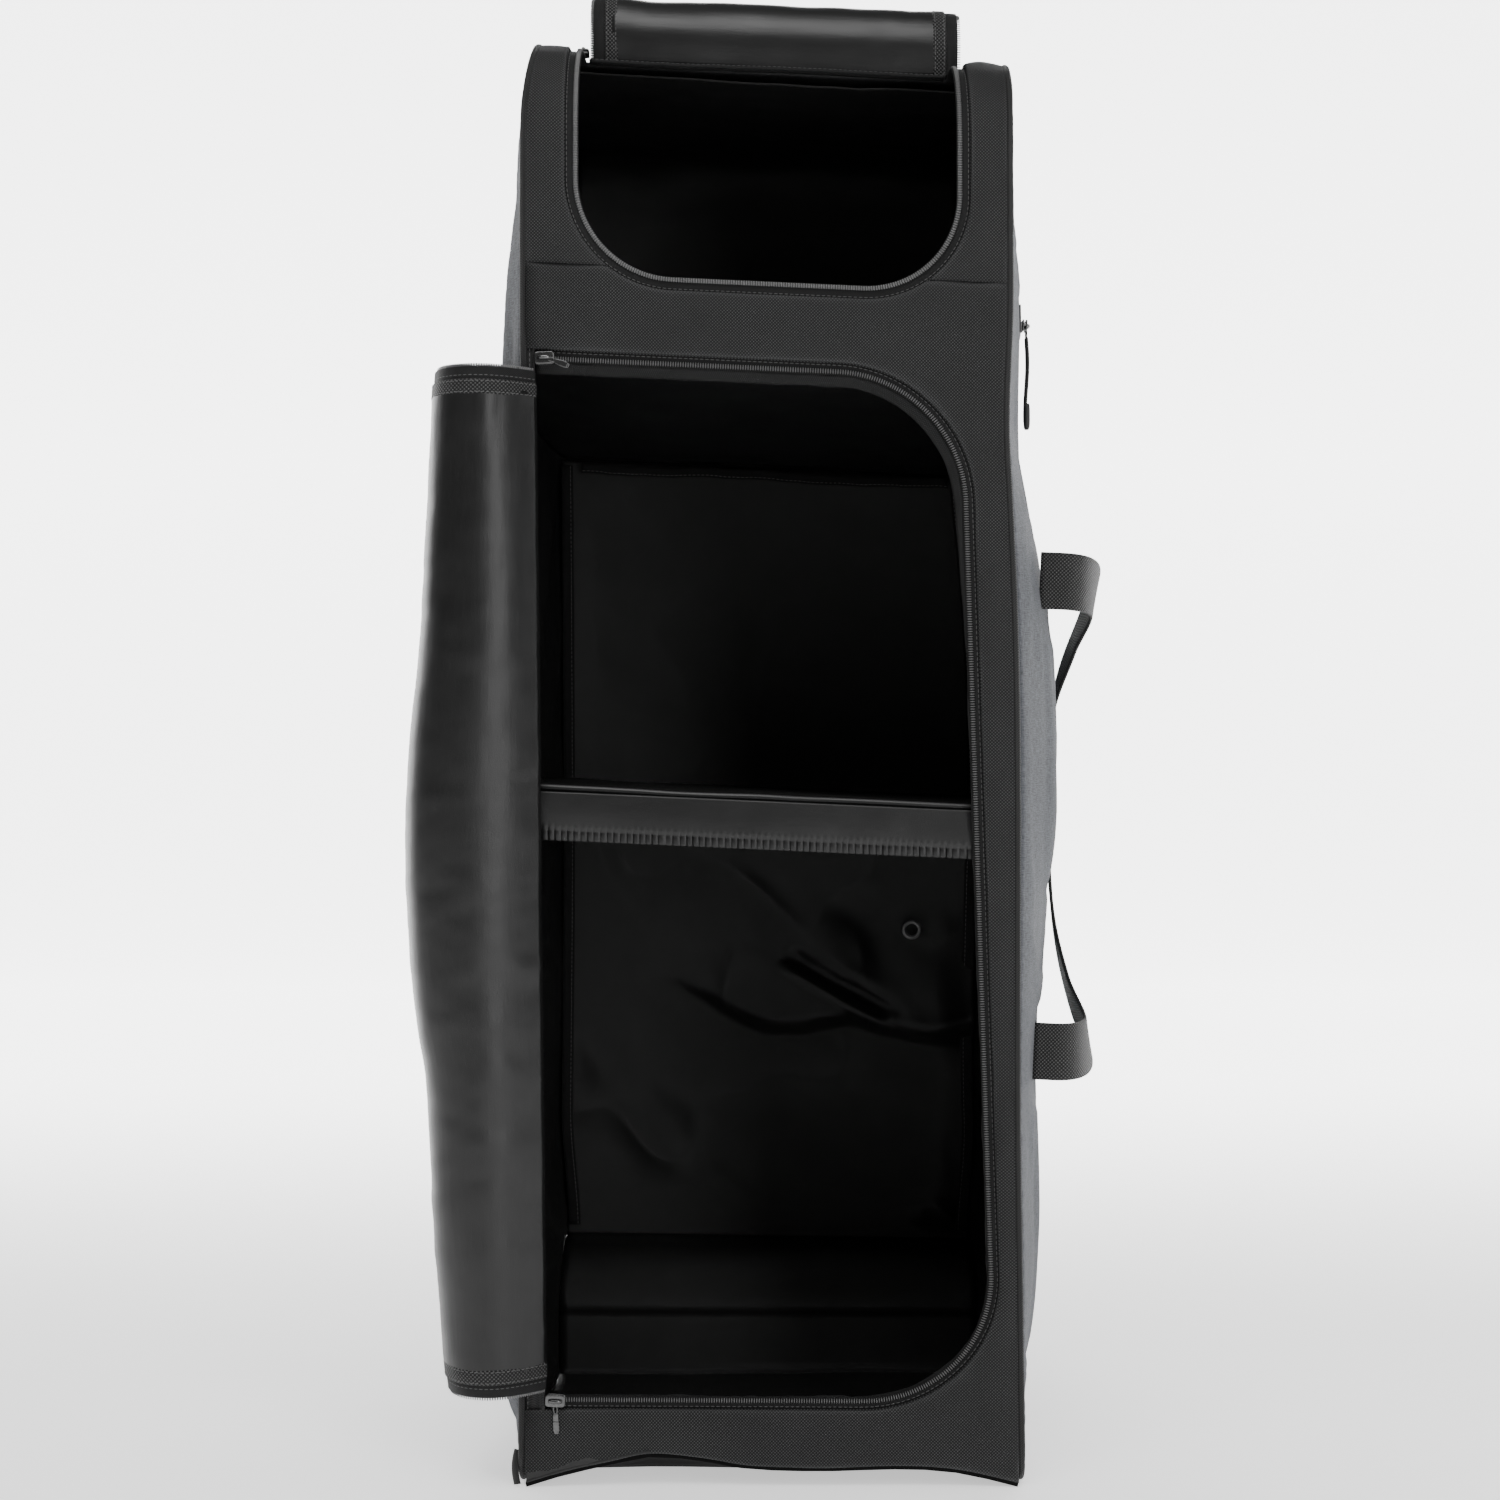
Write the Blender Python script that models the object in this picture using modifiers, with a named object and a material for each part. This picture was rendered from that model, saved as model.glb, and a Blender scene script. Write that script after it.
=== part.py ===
# A tall wheeled kit bag, standing upright with its two zipped flaps thrown open.
# The front faces -Y, up is +Z and the floor is z = 0. Lengths are in metres.

import math

import bmesh
import bpy
import numpy as np

# Overall sizes
HEIGHT = 0.930
WIDTH = 0.312
DEPTH = 0.330
WALL = 0.0025
GAP = 0.0003
SHEET_LAP = 0.010  # how far the back panel laps past the seams above and below it
CUT_REACH = 0.040  # how far a cutter stands out on both sides of the front
NOTCH_ROOM = 0.00045  # round the wheel housing
SWELL = 0.040  # how far the fullest side stands out past its seams
SWELL_RUN = 0.100  # from the top or bottom seam to the full swell
SWELL_POWER = 2.6
SKEW = 0.045  # the loaded bag sags to the right: drop in height per metre to the right
SKEW_FROM = 0.25  # the sag grows from nothing at the floor to its full slope here

# Corners of the body, seen from the side
TOP_FRONT_RADIUS = 0.065
TOP_REAR_RADIUS = 0.050
BOTTOM_RADIUS = 0.018

# Piping along the side seams
PIPING_RADIUS = 0.0023

# Stiff bottom, with a front edge that arches up off the floor
ARCH_RISE = 0.019
ARCH_RUN = 0.045

# Main opening in the front, closed on its left by the flap's hinge
OPENING_TOP = 0.718
OPENING_BOTTOM = 0.052
OPENING_RIGHT_TOP = 0.131
OPENING_RIGHT_BOTTOM = 0.147
OPENING_RADIUS = 0.085
HINGE_X_TOP = -0.148
HINGE_X_BOTTOM = -0.141

# Upper opening, which runs over the top's front edge
UPPER_SEAM = 0.776
UPPER_BOTTOM = 0.766
UPPER_HALF_WIDTH = 0.126
UPPER_CENTRE = 0.001
UPPER_RADIUS = 0.065
UPPER_HINGE_BACK = 0.085  # hinge of the upper flap, behind the front panel

# Zips
ZIP_WIDTH = 0.006
ZIP_THICK = 0.002
SLIDER_LENGTH = 0.013
SLIDER_WIDTH = 0.008
SLIDER_THICK = 0.004
SLIDER_BEVEL = 0.001
PULL_LENGTH = 0.017
PULL_WIDTH = 0.0035
PULL_THICK = 0.0015
PULL_BEVEL = 0.0005

# Main flap, which curls out to the left and back along the side
FLAP_CUT_WIDTH = 0.285
FLAP_TOP = 0.715
FLAP_BOTTOM = 0.061
FLAP_RADIUS = 0.080
FLAP_THICK = 0.003
BORDER_WIDTH = 0.018  # zip tape and webbing round a flap's free edges
BORDER_GAP = 0.0008

# Upper flap, which stands up and rolls back over the top
UPPER_FLAP_HALF_WIDTH = 0.125
UPPER_FLAP_CENTRE = 0.007
UPPER_FLAP_RUN = 0.165
UPPER_FLAP_RISE = 0.047
HINGE_BINDING_DEPTH = 0.012

# Inside
FLOOR_FRONT_HEIGHT = 0.752
FLOOR_REAR_HEIGHT = 0.690
SHELF_HEIGHT = 0.438
SHELF_THICK = 0.005
SHELF_SETBACK = 0.012
LIP_HEIGHT = 0.031
LINING_SETBACK = 0.012
SIDE_CLEARANCE = 0.0013  # between a piece inside and the side walls

# Webbing
WEBBING_WIDTH = 0.038
WEBBING_THICK = 0.0025
HANDLE_UPPER_HEIGHT = 0.592
HANDLE_LOWER_HEIGHT = 0.279
HANDLE_SETBACK = 0.060  # its ends, behind the front panel
HANDLE_BACK = 0.195  # the grip, behind the front panel
PULL_HANDLE_TOP = 0.865
PULL_HANDLE_LENGTH = 0.170
PULL_HANDLE_REACH = 0.034

# Right side pocket and sleeve
SIDE_ZIP_HEIGHT = 0.765
SIDE_ZIP_FRONT = 0.060
SIDE_ZIP_REAR = 0.270
SIDE_SLIDER_BACK = 0.085
SIDE_PULL_LENGTH = 0.066
SIDE_PULL_RADIUS = 0.0011
SIDE_PULL_HALF = 0.0024  # between the middles of its two strands, halved
SIDE_PULL_TURN = 0.0022
SLEEVE_FRONT = 0.226
SLEEVE_REAR = 0.318
SLEEVE_BOTTOM = 0.160
SLEEVE_TOP = 0.640
SLEEVE_SWELL = 0.019
SLEEVE_POWER = 0.6
SLEEVE_RISE = 0.046  # from its bottom seam to the full swell
SLEEVE_CLEARANCE = 0.0012

# Wheels, housing and axles
WHEEL_RADIUS = 0.040
WHEEL_WIDTH = 0.034
WHEEL_CENTRE_X = 0.124
HUB_RADIUS = 0.026
HUB_WALL = 0.0045
TYRE_SHOULDER = 0.004
HUB_WEB = 0.4  # half the web's thickness, as a share of half the wheel's width
HUB_RIM = 0.85
TYRE_CROWN = 0.75
AXLE_RADIUS = 0.004
AXLE_SETBACK = 0.022  # axle in front of the back panel
WHEEL_ROOM = 0.008
HOUSING_WALL = 0.003
HOUSING_RADIUS = 0.040
CHEEK_THICK = 0.004
CHEEK_ROOM = 0.003
CHEEK_FOOT = 0.016  # its front foot, below the axle
CHEEK_BACK = 0.008  # its rear edge, above the axle
CHEEK_REACH = 0.012  # its corner, behind the axle
CHEEK_RADIUS = 0.008

# Places that follow from the sizes above
FRONT = -DEPTH / 2
REAR = DEPTH / 2
HALF_WIDTH = WIDTH / 2
SEAM_INSET = PIPING_RADIUS + 2 * GAP
ARC_START = HEIGHT - TOP_FRONT_RADIUS
TOP_START = ARC_START + TOP_FRONT_RADIUS * math.pi / 2
TOP_RUN = DEPTH - TOP_FRONT_RADIUS - TOP_REAR_RADIUS
REAR_ARC_START = TOP_START + TOP_RUN
REAR_SEAM_S = REAR_ARC_START - SHEET_LAP
BACK_START = REAR_ARC_START + TOP_REAR_RADIUS * math.pi / 2
UPPER_HINGE_S = TOP_START + UPPER_HINGE_BACK - TOP_FRONT_RADIUS
AXLE_Y = REAR - AXLE_SETBACK
AXLE_Z = WHEEL_RADIUS
HOUSING_FRONT = AXLE_Y - WHEEL_RADIUS - WHEEL_ROOM - HOUSING_WALL
HOUSING_TOP = AXLE_Z + WHEEL_RADIUS + WHEEL_ROOM + HOUSING_WALL

# Level sections of the body. Heights are shares of HEIGHT, seams of half the WIDTH, swells of SWELL.
SECTION_COLUMNS = ("height", "left_seam", "right_seam", "left_swell", "right_swell")
SECTIONS = (
    (0.00, 1.000, 1.050, 0.30, 0.15),
    (0.06, 1.000, 1.045, 0.65, 0.30),
    (0.13, 0.990, 1.040, 0.70, 0.55),
    (0.27, 0.980, 1.030, 0.70, 0.55),
    (0.38, 0.975, 1.030, 0.70, 0.75),
    (0.49, 0.975, 1.030, 0.70, 1.00),
    (0.60, 0.980, 1.020, 0.68, 0.90),
    (0.68, 0.985, 1.000, 0.65, 0.65),
    (0.73, 0.990, 0.985, 0.62, 0.45),
    (0.82, 0.995, 1.000, 0.55, 0.42),
    (0.88, 0.995, 1.000, 0.35, 0.35),
    (0.94, 0.990, 1.000, 0.22, 0.22),
    (1.00, 0.955, 1.010, 0.10, 0.10),
)

# Front edge of the bottom, from left to right: place across, and rise as a share of ARCH_RISE
ARCH_COLUMNS = ("across", "rise")
ARCH = ((0.0, 0.0), (0.08, 0.40), (0.16, 0.70), (0.25, 1.0), (0.35, 0.88), (0.45, 0.60), (0.55, 0.53),
        (0.90, 0.40), (1.0, 0.0))

# Curl of the main flap: share of its cut width, and heading in degrees from straight left to straight back
CURL_COLUMNS = ("along", "heading")
CURL = ((0.0, -40.0), (0.15, -12.0), (0.28, 40.0), (0.38, 88.0), (0.55, 97.0), (1.0, 102.0))

# How far the main flap reaches at each share of its height, as a share of its fullest reach
REACH_COLUMNS = ("height", "reach")
REACH = ((0.0, 0.73), (0.06, 0.77), (0.18, 0.83), (0.31, 0.87), (0.36, 0.93), (0.50, 1.0), (0.63, 0.97),
         (0.72, 0.90), (0.82, 0.85), (1.0, 0.75))

# Roll of the upper flap, as shares of its run back and of its rise
ROLL_COLUMNS = ("along", "back", "rise")
ROLL = ((0.0, 0.0, 0.0), (0.12, -0.02, 0.48), (0.24, 0.03, 0.88), (0.38, 0.18, 1.0), (0.52, 0.38, 0.78),
        (0.66, 0.56, 0.36), (0.80, 0.75, 0.14), (1.0, 1.0, 0.12))

# Each leg of the side handle, from its seam: metres out of the side, back, and toward the other leg
HANDLE_LEG = ((0.0, 0.0, 0.0), (0.024, 0.004, 0.0), (0.040, 0.028, 0.003), (0.034, 0.068, 0.031))

# The same for the grip, with the way back counted from HANDLE_BACK
HANDLE_GRIP = ((0.008, -0.012, 0.081), (0.006, 0.0, 0.131))

# Loop of the pull handle: share of its reach, and share of its length downward
PULL_LOOP = ((0.0, 0.0), (0.7, 0.01), (1.0, 0.22), (1.0, 0.78), (0.7, 0.99), (0.0, 1.0))

# Colours as they look in the photo, roughness and metallic value
MATERIALS = {
    "front_weave": ((0.035, 0.035, 0.037), 0.75, 0.0),
    "side_heather": ((0.105, 0.115, 0.130), 0.85, 0.0),
    "satin": ((0.030, 0.030, 0.031), 0.45, 0.0),
    "lining": ((0.012, 0.012, 0.013), 0.50, 0.0),
    "webbing": ((0.015, 0.015, 0.016), 0.70, 0.0),
    "zip": ((0.020, 0.020, 0.021), 0.50, 0.0),
    "slider_metal": ((0.12, 0.12, 0.125), 0.35, 1.0),
    "moulded": ((0.020, 0.020, 0.021), 0.45, 0.0),
    "tyre": ((0.025, 0.025, 0.026), 0.80, 0.0),
    "steel": ((0.55, 0.55, 0.56), 0.30, 1.0),
}


def read_table(table, columns, column, at):
    """The column's value at a first-column value, on a smooth curve through the rows."""
    rows = np.array(table)
    xs, ys = rows[:, 0], rows[:, columns.index(column)]
    slopes = np.gradient(ys, xs)
    at = np.clip(np.asarray(at, float), xs[0], xs[-1])
    i = np.clip(np.searchsorted(xs, at, side="right") - 1, 0, len(xs) - 2)
    span = xs[i + 1] - xs[i]
    t = (at - xs[i]) / span
    return (
        (2 * t**3 - 3 * t**2 + 1) * ys[i]
        + (t**3 - 2 * t**2 + t) * span * slopes[i]
        + (3 * t**2 - 2 * t**3) * ys[i + 1]
        + (t**3 - t**2) * span * slopes[i + 1]
    )


def smooth_step(share):
    share = np.clip(share, 0.0, 1.0)
    return share * share * (3.0 - 2.0 * share)


def section(column, z):
    return read_table(SECTIONS, SECTION_COLUMNS, column, np.asarray(z) / HEIGHT)


def seam_x(side, z):
    """X of the left (-1) or right (1) seam at a height."""
    return side * HALF_WIDTH * section("left_seam" if side < 0 else "right_seam", z)


def settle(points):
    """Sags points to the right, more with height until SKEW_FROM."""
    settled = np.array(points, float)
    settled[..., 2] -= SKEW * settled[..., 0] * smooth_step(settled[..., 2] / SKEW_FROM)
    return settled


def side_edges(z, inset):
    """Front and rear y of the side panel at a height, inside the girth by an inset."""
    def edge(radius, height):
        reach = radius - inset
        return radius - np.sqrt(np.clip(reach**2 - np.clip(height, 0.0, reach) ** 2, 0.0, None))

    top_front = edge(TOP_FRONT_RADIUS, z - ARC_START)
    top_rear = edge(TOP_REAR_RADIUS, z - HEIGHT + TOP_REAR_RADIUS)
    bottom = edge(BOTTOM_RADIUS, PIPING_RADIUS + BOTTOM_RADIUS - z)
    return FRONT + np.maximum(top_front, bottom), REAR - top_rear


def side_x(side, y, z):
    """Outer x of the side at a place on it. It swells from its seams, and lies flat beside the stiff
    wheel housing."""
    y, z = np.broadcast_arrays(np.asarray(y, float), np.asarray(z, float))
    across = np.clip(np.abs(2.0 * y / DEPTH), 0.0, 1.0)
    from_end = np.clip(np.minimum(z, HEIGHT - z) / SWELL_RUN, 0.0, 1.0)
    fullness = (1.0 - across**SWELL_POWER) * (1.0 - (1.0 - from_end) ** SWELL_POWER)
    from_housing = np.maximum(HOUSING_FRONT - y, z - HOUSING_TOP) / SWELL_RUN
    swell = SWELL * section("left_swell" if side < 0 else "right_swell", z)
    return seam_x(side, z) + side * swell * fullness * smooth_step(from_housing)


def girth(s):
    """Y and z at a distance s from the floor, up the front, over the top and down the back."""
    s = np.asarray(s, float)
    front_turn = np.clip((s - ARC_START) / TOP_FRONT_RADIUS, 0.0, math.pi / 2)
    rear_turn = np.clip((s - REAR_ARC_START) / TOP_REAR_RADIUS, 0.0, math.pi / 2)
    along_top = np.clip(s - TOP_START, 0.0, TOP_RUN)
    down_back = np.clip(s - BACK_START, 0.0, None)
    y = FRONT + TOP_FRONT_RADIUS * (1 - np.cos(front_turn)) + along_top + TOP_REAR_RADIUS * np.sin(rear_turn)
    z = (
        np.minimum(s, ARC_START)
        + TOP_FRONT_RADIUS * np.sin(front_turn)
        - TOP_REAR_RADIUS * (1 - np.cos(rear_turn))
        - down_back
    )
    return y, z


def on_girth(x, s):
    x, s = np.broadcast_arrays(x, s)
    return np.stack([x, *girth(s)], axis=-1)


def stations(start, end):
    """Distances along the girth, close together round its two corners."""
    marks = np.concatenate([
        np.linspace(0.0, ARC_START, 17),
        np.linspace(ARC_START, TOP_START, 7),
        np.linspace(TOP_START, REAR_ARC_START, 4),
        np.linspace(REAR_ARC_START, BACK_START, 6),
        np.linspace(BACK_START, BACK_START + HEIGHT - TOP_REAR_RADIUS, 17),
    ])
    marks = np.unique(np.round(marks, 6))
    inside = marks[(marks > start + 2 * WALL) & (marks < end - 2 * WALL)]
    return np.concatenate([[start], inside, [end]])


def rounded(corners, arc_steps, run_steps=1):
    """A path through corners given as (a, b, radius), with arcs and evenly divided straight runs."""
    corners = [(np.array(corner[:2], float), corner[2]) for corner in corners]
    arcs = []
    for i, (corner, radius) in enumerate(corners):
        if radius == 0.0:
            arcs.append([corner])
            continue
        before, after = corners[i - 1][0] - corner, corners[(i + 1) % len(corners)][0] - corner
        before, after = before / np.linalg.norm(before), after / np.linalg.norm(after)
        half = math.acos(float(np.clip(before @ after, -1, 1))) / 2
        middle = (before + after) / np.linalg.norm(before + after)
        centre = corner + middle * radius / math.sin(half)
        start = corner + before * radius / math.tan(half) - centre
        end = corner + after * radius / math.tan(half) - centre
        sweep = math.pi - 2 * half
        arcs.append([
            centre + (start * math.sin((1 - t) * sweep) + end * math.sin(t * sweep)) / math.sin(sweep)
            for t in np.linspace(0.0, 1.0, arc_steps + 1)
        ])
    path = list(arcs[0])
    for arc in arcs[1:]:
        path += [path[-1] + (arc[0] - path[-1]) * share for share in np.linspace(0, 1, run_steps + 1)[1:-1]]
        path += arc
    return np.array(path)


def material(name):
    existing = bpy.data.materials.get(name)
    if existing:
        return existing
    colour, roughness, metallic = MATERIALS[name]
    made = bpy.data.materials.new(name)
    made.use_nodes = True
    shader = made.node_tree.nodes["Principled BSDF"]
    shader.inputs["Base Color"].default_value = (*colour, 1.0)
    shader.inputs["Roughness"].default_value = roughness
    shader.inputs["Metallic"].default_value = metallic
    return made


def collection(name):
    made = bpy.data.collections.new(name)
    bpy.context.scene.collection.children.link(made)
    return made


def place(name, mesh, material_name, smooth=True):
    piece = bpy.data.objects.new(name, mesh)
    mesh.materials.append(material(material_name))
    if smooth:
        mesh.shade_smooth()
        mesh.set_sharp_from_angle(angle=math.radians(35))
    parts.objects.link(piece)
    return piece


def mesh_from(work, name):
    mesh = bpy.data.meshes.new(name)
    work.to_mesh(mesh)
    work.free()
    return mesh


def grid_mesh(name, grid):
    """An open surface through a grid of points, rows by columns."""
    rows, columns = grid.shape[:2]
    work = bmesh.new()
    verts = [work.verts.new(point) for point in grid.reshape(-1, 3)]
    for r in range(rows - 1):
        for c in range(columns - 1):
            corner = r * columns + c
            work.faces.new([verts[corner], verts[corner + 1], verts[corner + columns + 1], verts[corner + columns]])
    return mesh_from(work, name)


def sheet(name, grid, thickness, material_name, offset=-1.0):
    """A wall of one thickness. Its grid's rows and columns turn so that the faces point outward."""
    piece = place(name, grid_mesh(name, grid), material_name)
    wall = piece.modifiers.new("Wall", "SOLIDIFY")
    wall.thickness = thickness
    wall.offset = offset
    return piece


def prism(name, outline, axis, low, high):
    """A solid of a flat outline, carried along an axis from low to high."""
    work = bmesh.new()
    order = {"X": lambda a, b, c: (c, a, b), "Y": lambda a, b, c: (a, c, b)}[axis]
    face = work.faces.new([work.verts.new(order(a, b, low)) for a, b in outline])
    grown = bmesh.ops.extrude_face_region(work, geom=[face])
    for item in grown["geom"]:
        if isinstance(item, bmesh.types.BMVert):
            item.co["XY".index(axis)] = high
    bmesh.ops.recalc_face_normals(work, faces=work.faces)
    return mesh_from(work, name)


def move_points(mesh, change):
    points = np.array([vert.co for vert in mesh.vertices])
    mesh.vertices.foreach_set("co", change(points).astype(np.float32).ravel())
    mesh.update()


def cutter(name, mesh):
    tool = bpy.data.objects.new(name, mesh)
    tool.hide_render = True
    tool.display_type = "WIRE"
    cutters.objects.link(tool)
    return tool


def combine(piece, tool, operation):
    step = piece.modifiers.new(tool.name, "BOOLEAN")
    step.operation = operation
    step.object = tool


def tube(name, points, radius, material_name, sides=2, cyclic=False):
    curve = bpy.data.curves.new(name, "CURVE")
    curve.dimensions = "3D"
    curve.bevel_depth = radius
    curve.bevel_resolution = sides
    curve.use_fill_caps = not cyclic
    spline = curve.splines.new("POLY")
    spline.points.add(len(points) - 1)
    for spot, point in zip(spline.points, points):
        spot.co = (*point, 1.0)
    spline.use_cyclic_u = cyclic
    piece = bpy.data.objects.new(name, curve)
    curve.materials.append(material(material_name))
    parts.objects.link(piece)
    return piece


def block(name, size, centre, bevel, material_name):
    work = bmesh.new()
    bmesh.ops.create_cube(work, size=1.0)
    bmesh.ops.scale(work, vec=size, verts=work.verts)
    bmesh.ops.translate(work, vec=centre, verts=work.verts)
    piece = place(name, mesh_from(work, name), material_name)
    edges = piece.modifiers.new("Edges", "BEVEL")
    edges.width = bevel
    edges.segments = 2
    return piece


def turned(name, profile, centre, material_name, steps=24):
    """A solid turned about the X axis through centre, from a closed profile of (x, radius) points."""
    work = bmesh.new()
    loop = [work.verts.new((along, 0.0, radius)) for along, radius in reversed(profile)]
    for start, end in zip(loop, loop[1:] + loop[:1]):
        work.edges.new((start, end))
    piece = place(name, mesh_from(work, name), material_name)
    spin = piece.modifiers.new("Turn", "SCREW")
    spin.axis = "X"
    spin.steps = steps
    spin.render_steps = steps
    spin.use_merge_vertices = True
    spin.merge_threshold = 0.00001
    piece.location = centre
    return piece


def hinge_x(z):
    share = (np.asarray(z) - OPENING_BOTTOM) / (OPENING_TOP - OPENING_BOTTOM)
    return HINGE_X_BOTTOM + (HINGE_X_TOP - HINGE_X_BOTTOM) * np.clip(share, 0.0, 1.0)


def arch_height(x, low, high):
    share = (np.asarray(x) - low) / (high - low)
    return ARCH_RISE * read_table(ARCH, ARCH_COLUMNS, "rise", share)


def panel_ends(z):
    return seam_x(-1, z) + SEAM_INSET, seam_x(1, z) - SEAM_INSET


def across_panel(z, count):
    """X from seam to seam, a row for each height."""
    low, high = panel_ends(z)
    return low[:, None] + (high - low)[:, None] * np.linspace(0.0, 1.0, count)[None, :]


def opening_corners(inset):
    """The main opening's top, right and bottom edges, moved into it by an inset."""
    slope = (OPENING_RIGHT_BOTTOM - OPENING_RIGHT_TOP) / (OPENING_TOP - OPENING_BOTTOM)
    return [
        (OPENING_RIGHT_TOP - inset, OPENING_TOP - inset, OPENING_RADIUS - inset),
        (OPENING_RIGHT_BOTTOM - inset + slope * inset, OPENING_BOTTOM + inset, OPENING_RADIUS - inset),
    ]


def upper_corners(inset, top):
    """The upper opening's outline, as x and distance along the girth."""
    left, right = UPPER_CENTRE - UPPER_HALF_WIDTH + inset, UPPER_CENTRE + UPPER_HALF_WIDTH - inset
    return [
        (left, top, 0.0),
        (left, UPPER_BOTTOM + inset, UPPER_RADIUS - inset),
        (right, UPPER_BOTTOM + inset, UPPER_RADIUS - inset),
        (right, top, 0.0),
    ]


def make_cutters():
    left = -WIDTH
    outline = rounded(
        [(left, OPENING_TOP, 0.0), *opening_corners(0.0), (left, OPENING_BOTTOM, 0.0)], arc_steps=8, run_steps=6
    )
    main = prism("main_opening", outline, "Y", FRONT - CUT_REACH, FRONT + CUT_REACH)
    upper = prism(
        "upper_opening",
        rounded(upper_corners(0.0, HEIGHT + TOP_FRONT_RADIUS), arc_steps=6),
        "Y", FRONT - CUT_REACH, FRONT + UPPER_HINGE_BACK,
    )
    for mesh in (main, upper):
        move_points(mesh, settle)
    corner = [
        (HOUSING_FRONT - NOTCH_ROOM, -HOUSING_TOP, 0.0),
        (HOUSING_FRONT - NOTCH_ROOM, HOUSING_TOP + NOTCH_ROOM, HOUSING_RADIUS + NOTCH_ROOM),
        (REAR + HOUSING_TOP, HOUSING_TOP + NOTCH_ROOM, 0.0),
        (REAR + HOUSING_TOP, -HOUSING_TOP, 0.0),
    ]
    notch = prism("housing_notch", rounded(corner, arc_steps=8), "X", -WIDTH, WIDTH)
    return cutter("main_opening", main), cutter("upper_opening", upper), cutter("housing_notch", notch)


def make_girth_panels(main_opening, upper_opening, notch):
    columns = 9
    low, high = panel_ends(np.zeros(1))
    edge_share = np.linspace(0.0, 1.0, 2 * columns - 1)
    bottom_x = low + (high - low) * edge_share
    edge = arch_height(bottom_x, low, high) + WALL + GAP
    rows = stations(0.0, UPPER_SEAM - GAP)[:, None]
    heights = rows + edge[None, :] * (1.0 - rows / rows[-1])
    seams_low, seams_high = panel_ends(heights)
    x = seams_low + (seams_high - seams_low) * edge_share[None, :]
    front = np.stack([x, np.full_like(x, FRONT), heights], axis=-1)
    panel = sheet("front_panel", settle(front), WALL, "front_weave")
    combine(panel, main_opening, "DIFFERENCE")
    combine(panel, upper_opening, "DIFFERENCE")

    s = stations(UPPER_SEAM, REAR_SEAM_S - GAP)
    surround = sheet("top_surround", settle(on_girth(across_panel(girth(s)[1], columns), s[:, None])), WALL,
                     "front_weave")
    combine(surround, upper_opening, "DIFFERENCE")

    s = stations(REAR_SEAM_S, BACK_START + HEIGHT - TOP_REAR_RADIUS - HOUSING_TOP + SHEET_LAP)
    back = sheet("back_panel", settle(on_girth(across_panel(girth(s)[1], columns), s[:, None])), WALL,
                 "side_heather")
    combine(back, notch, "DIFFERENCE")

    y = np.concatenate([FRONT + ARCH_RUN * np.linspace(0.0, 1.0, 6), [HOUSING_FRONT - GAP]])
    rise = arch_height(bottom_x, low, high)[None, :] * (1 - smooth_step((y - FRONT) / ARCH_RUN))[:, None]
    bottom = np.stack(np.broadcast_arrays(bottom_x[None, :], y[:, None], rise), axis=-1)
    sheet("bottom_panel", bottom[::-1], WALL, "moulded")


def make_sides(notch):
    low = PIPING_RADIUS + SEAM_INSET
    bend = PIPING_RADIUS + BOTTOM_RADIUS
    high = HEIGHT - SEAM_INSET
    corner = ARC_START + (high - ARC_START) * np.sin(np.linspace(0.0, math.pi / 2, 6))
    foot = bend - (bend - low) * np.cos(np.linspace(0.0, math.pi / 2, 5))
    low_side = bend + 2 * SWELL_RUN
    z = np.concatenate([
        foot[:-1], np.linspace(bend, low_side, 6)[:-1], np.linspace(low_side, ARC_START, 14), corner[1:]
    ])
    front, rear = side_edges(z, SEAM_INSET)
    across = 0.5 - 0.5 * np.cos(np.linspace(0.0, math.pi, 10))
    y = front[:, None] + (rear - front)[:, None] * across[None, :]
    for side, label in ((-1, "left"), (1, "right")):
        x = side_x(side, y, z[:, None])
        grid = settle(np.stack(np.broadcast_arrays(x, y, z[:, None]), axis=-1))
        panel = sheet("side_panel_" + label, grid if side > 0 else grid[:, ::-1], WALL, "side_heather")
        combine(panel, notch, "DIFFERENCE")


def make_piping():
    lowest = PIPING_RADIUS
    turn = np.linspace(0.0, math.pi / 2, 6)
    corner_y = FRONT + BOTTOM_RADIUS - BOTTOM_RADIUS * np.sin(turn)
    corner_z = lowest + BOTTOM_RADIUS * (1 - np.cos(turn))
    low = lowest + BOTTOM_RADIUS
    s = stations(low, BACK_START + HEIGHT - TOP_REAR_RADIUS - HOUSING_TOP - SHEET_LAP)[1:]
    y, z = girth(s)
    y = np.concatenate([[HOUSING_FRONT - GAP], corner_y, y])
    z = np.concatenate([[lowest], corner_z, z])
    for side, label in ((-1, "left"), (1, "right")):
        points = settle(np.stack([seam_x(side, z), y, z], axis=-1))
        tube("piping_" + label, points, PIPING_RADIUS, "webbing", sides=1)


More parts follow.
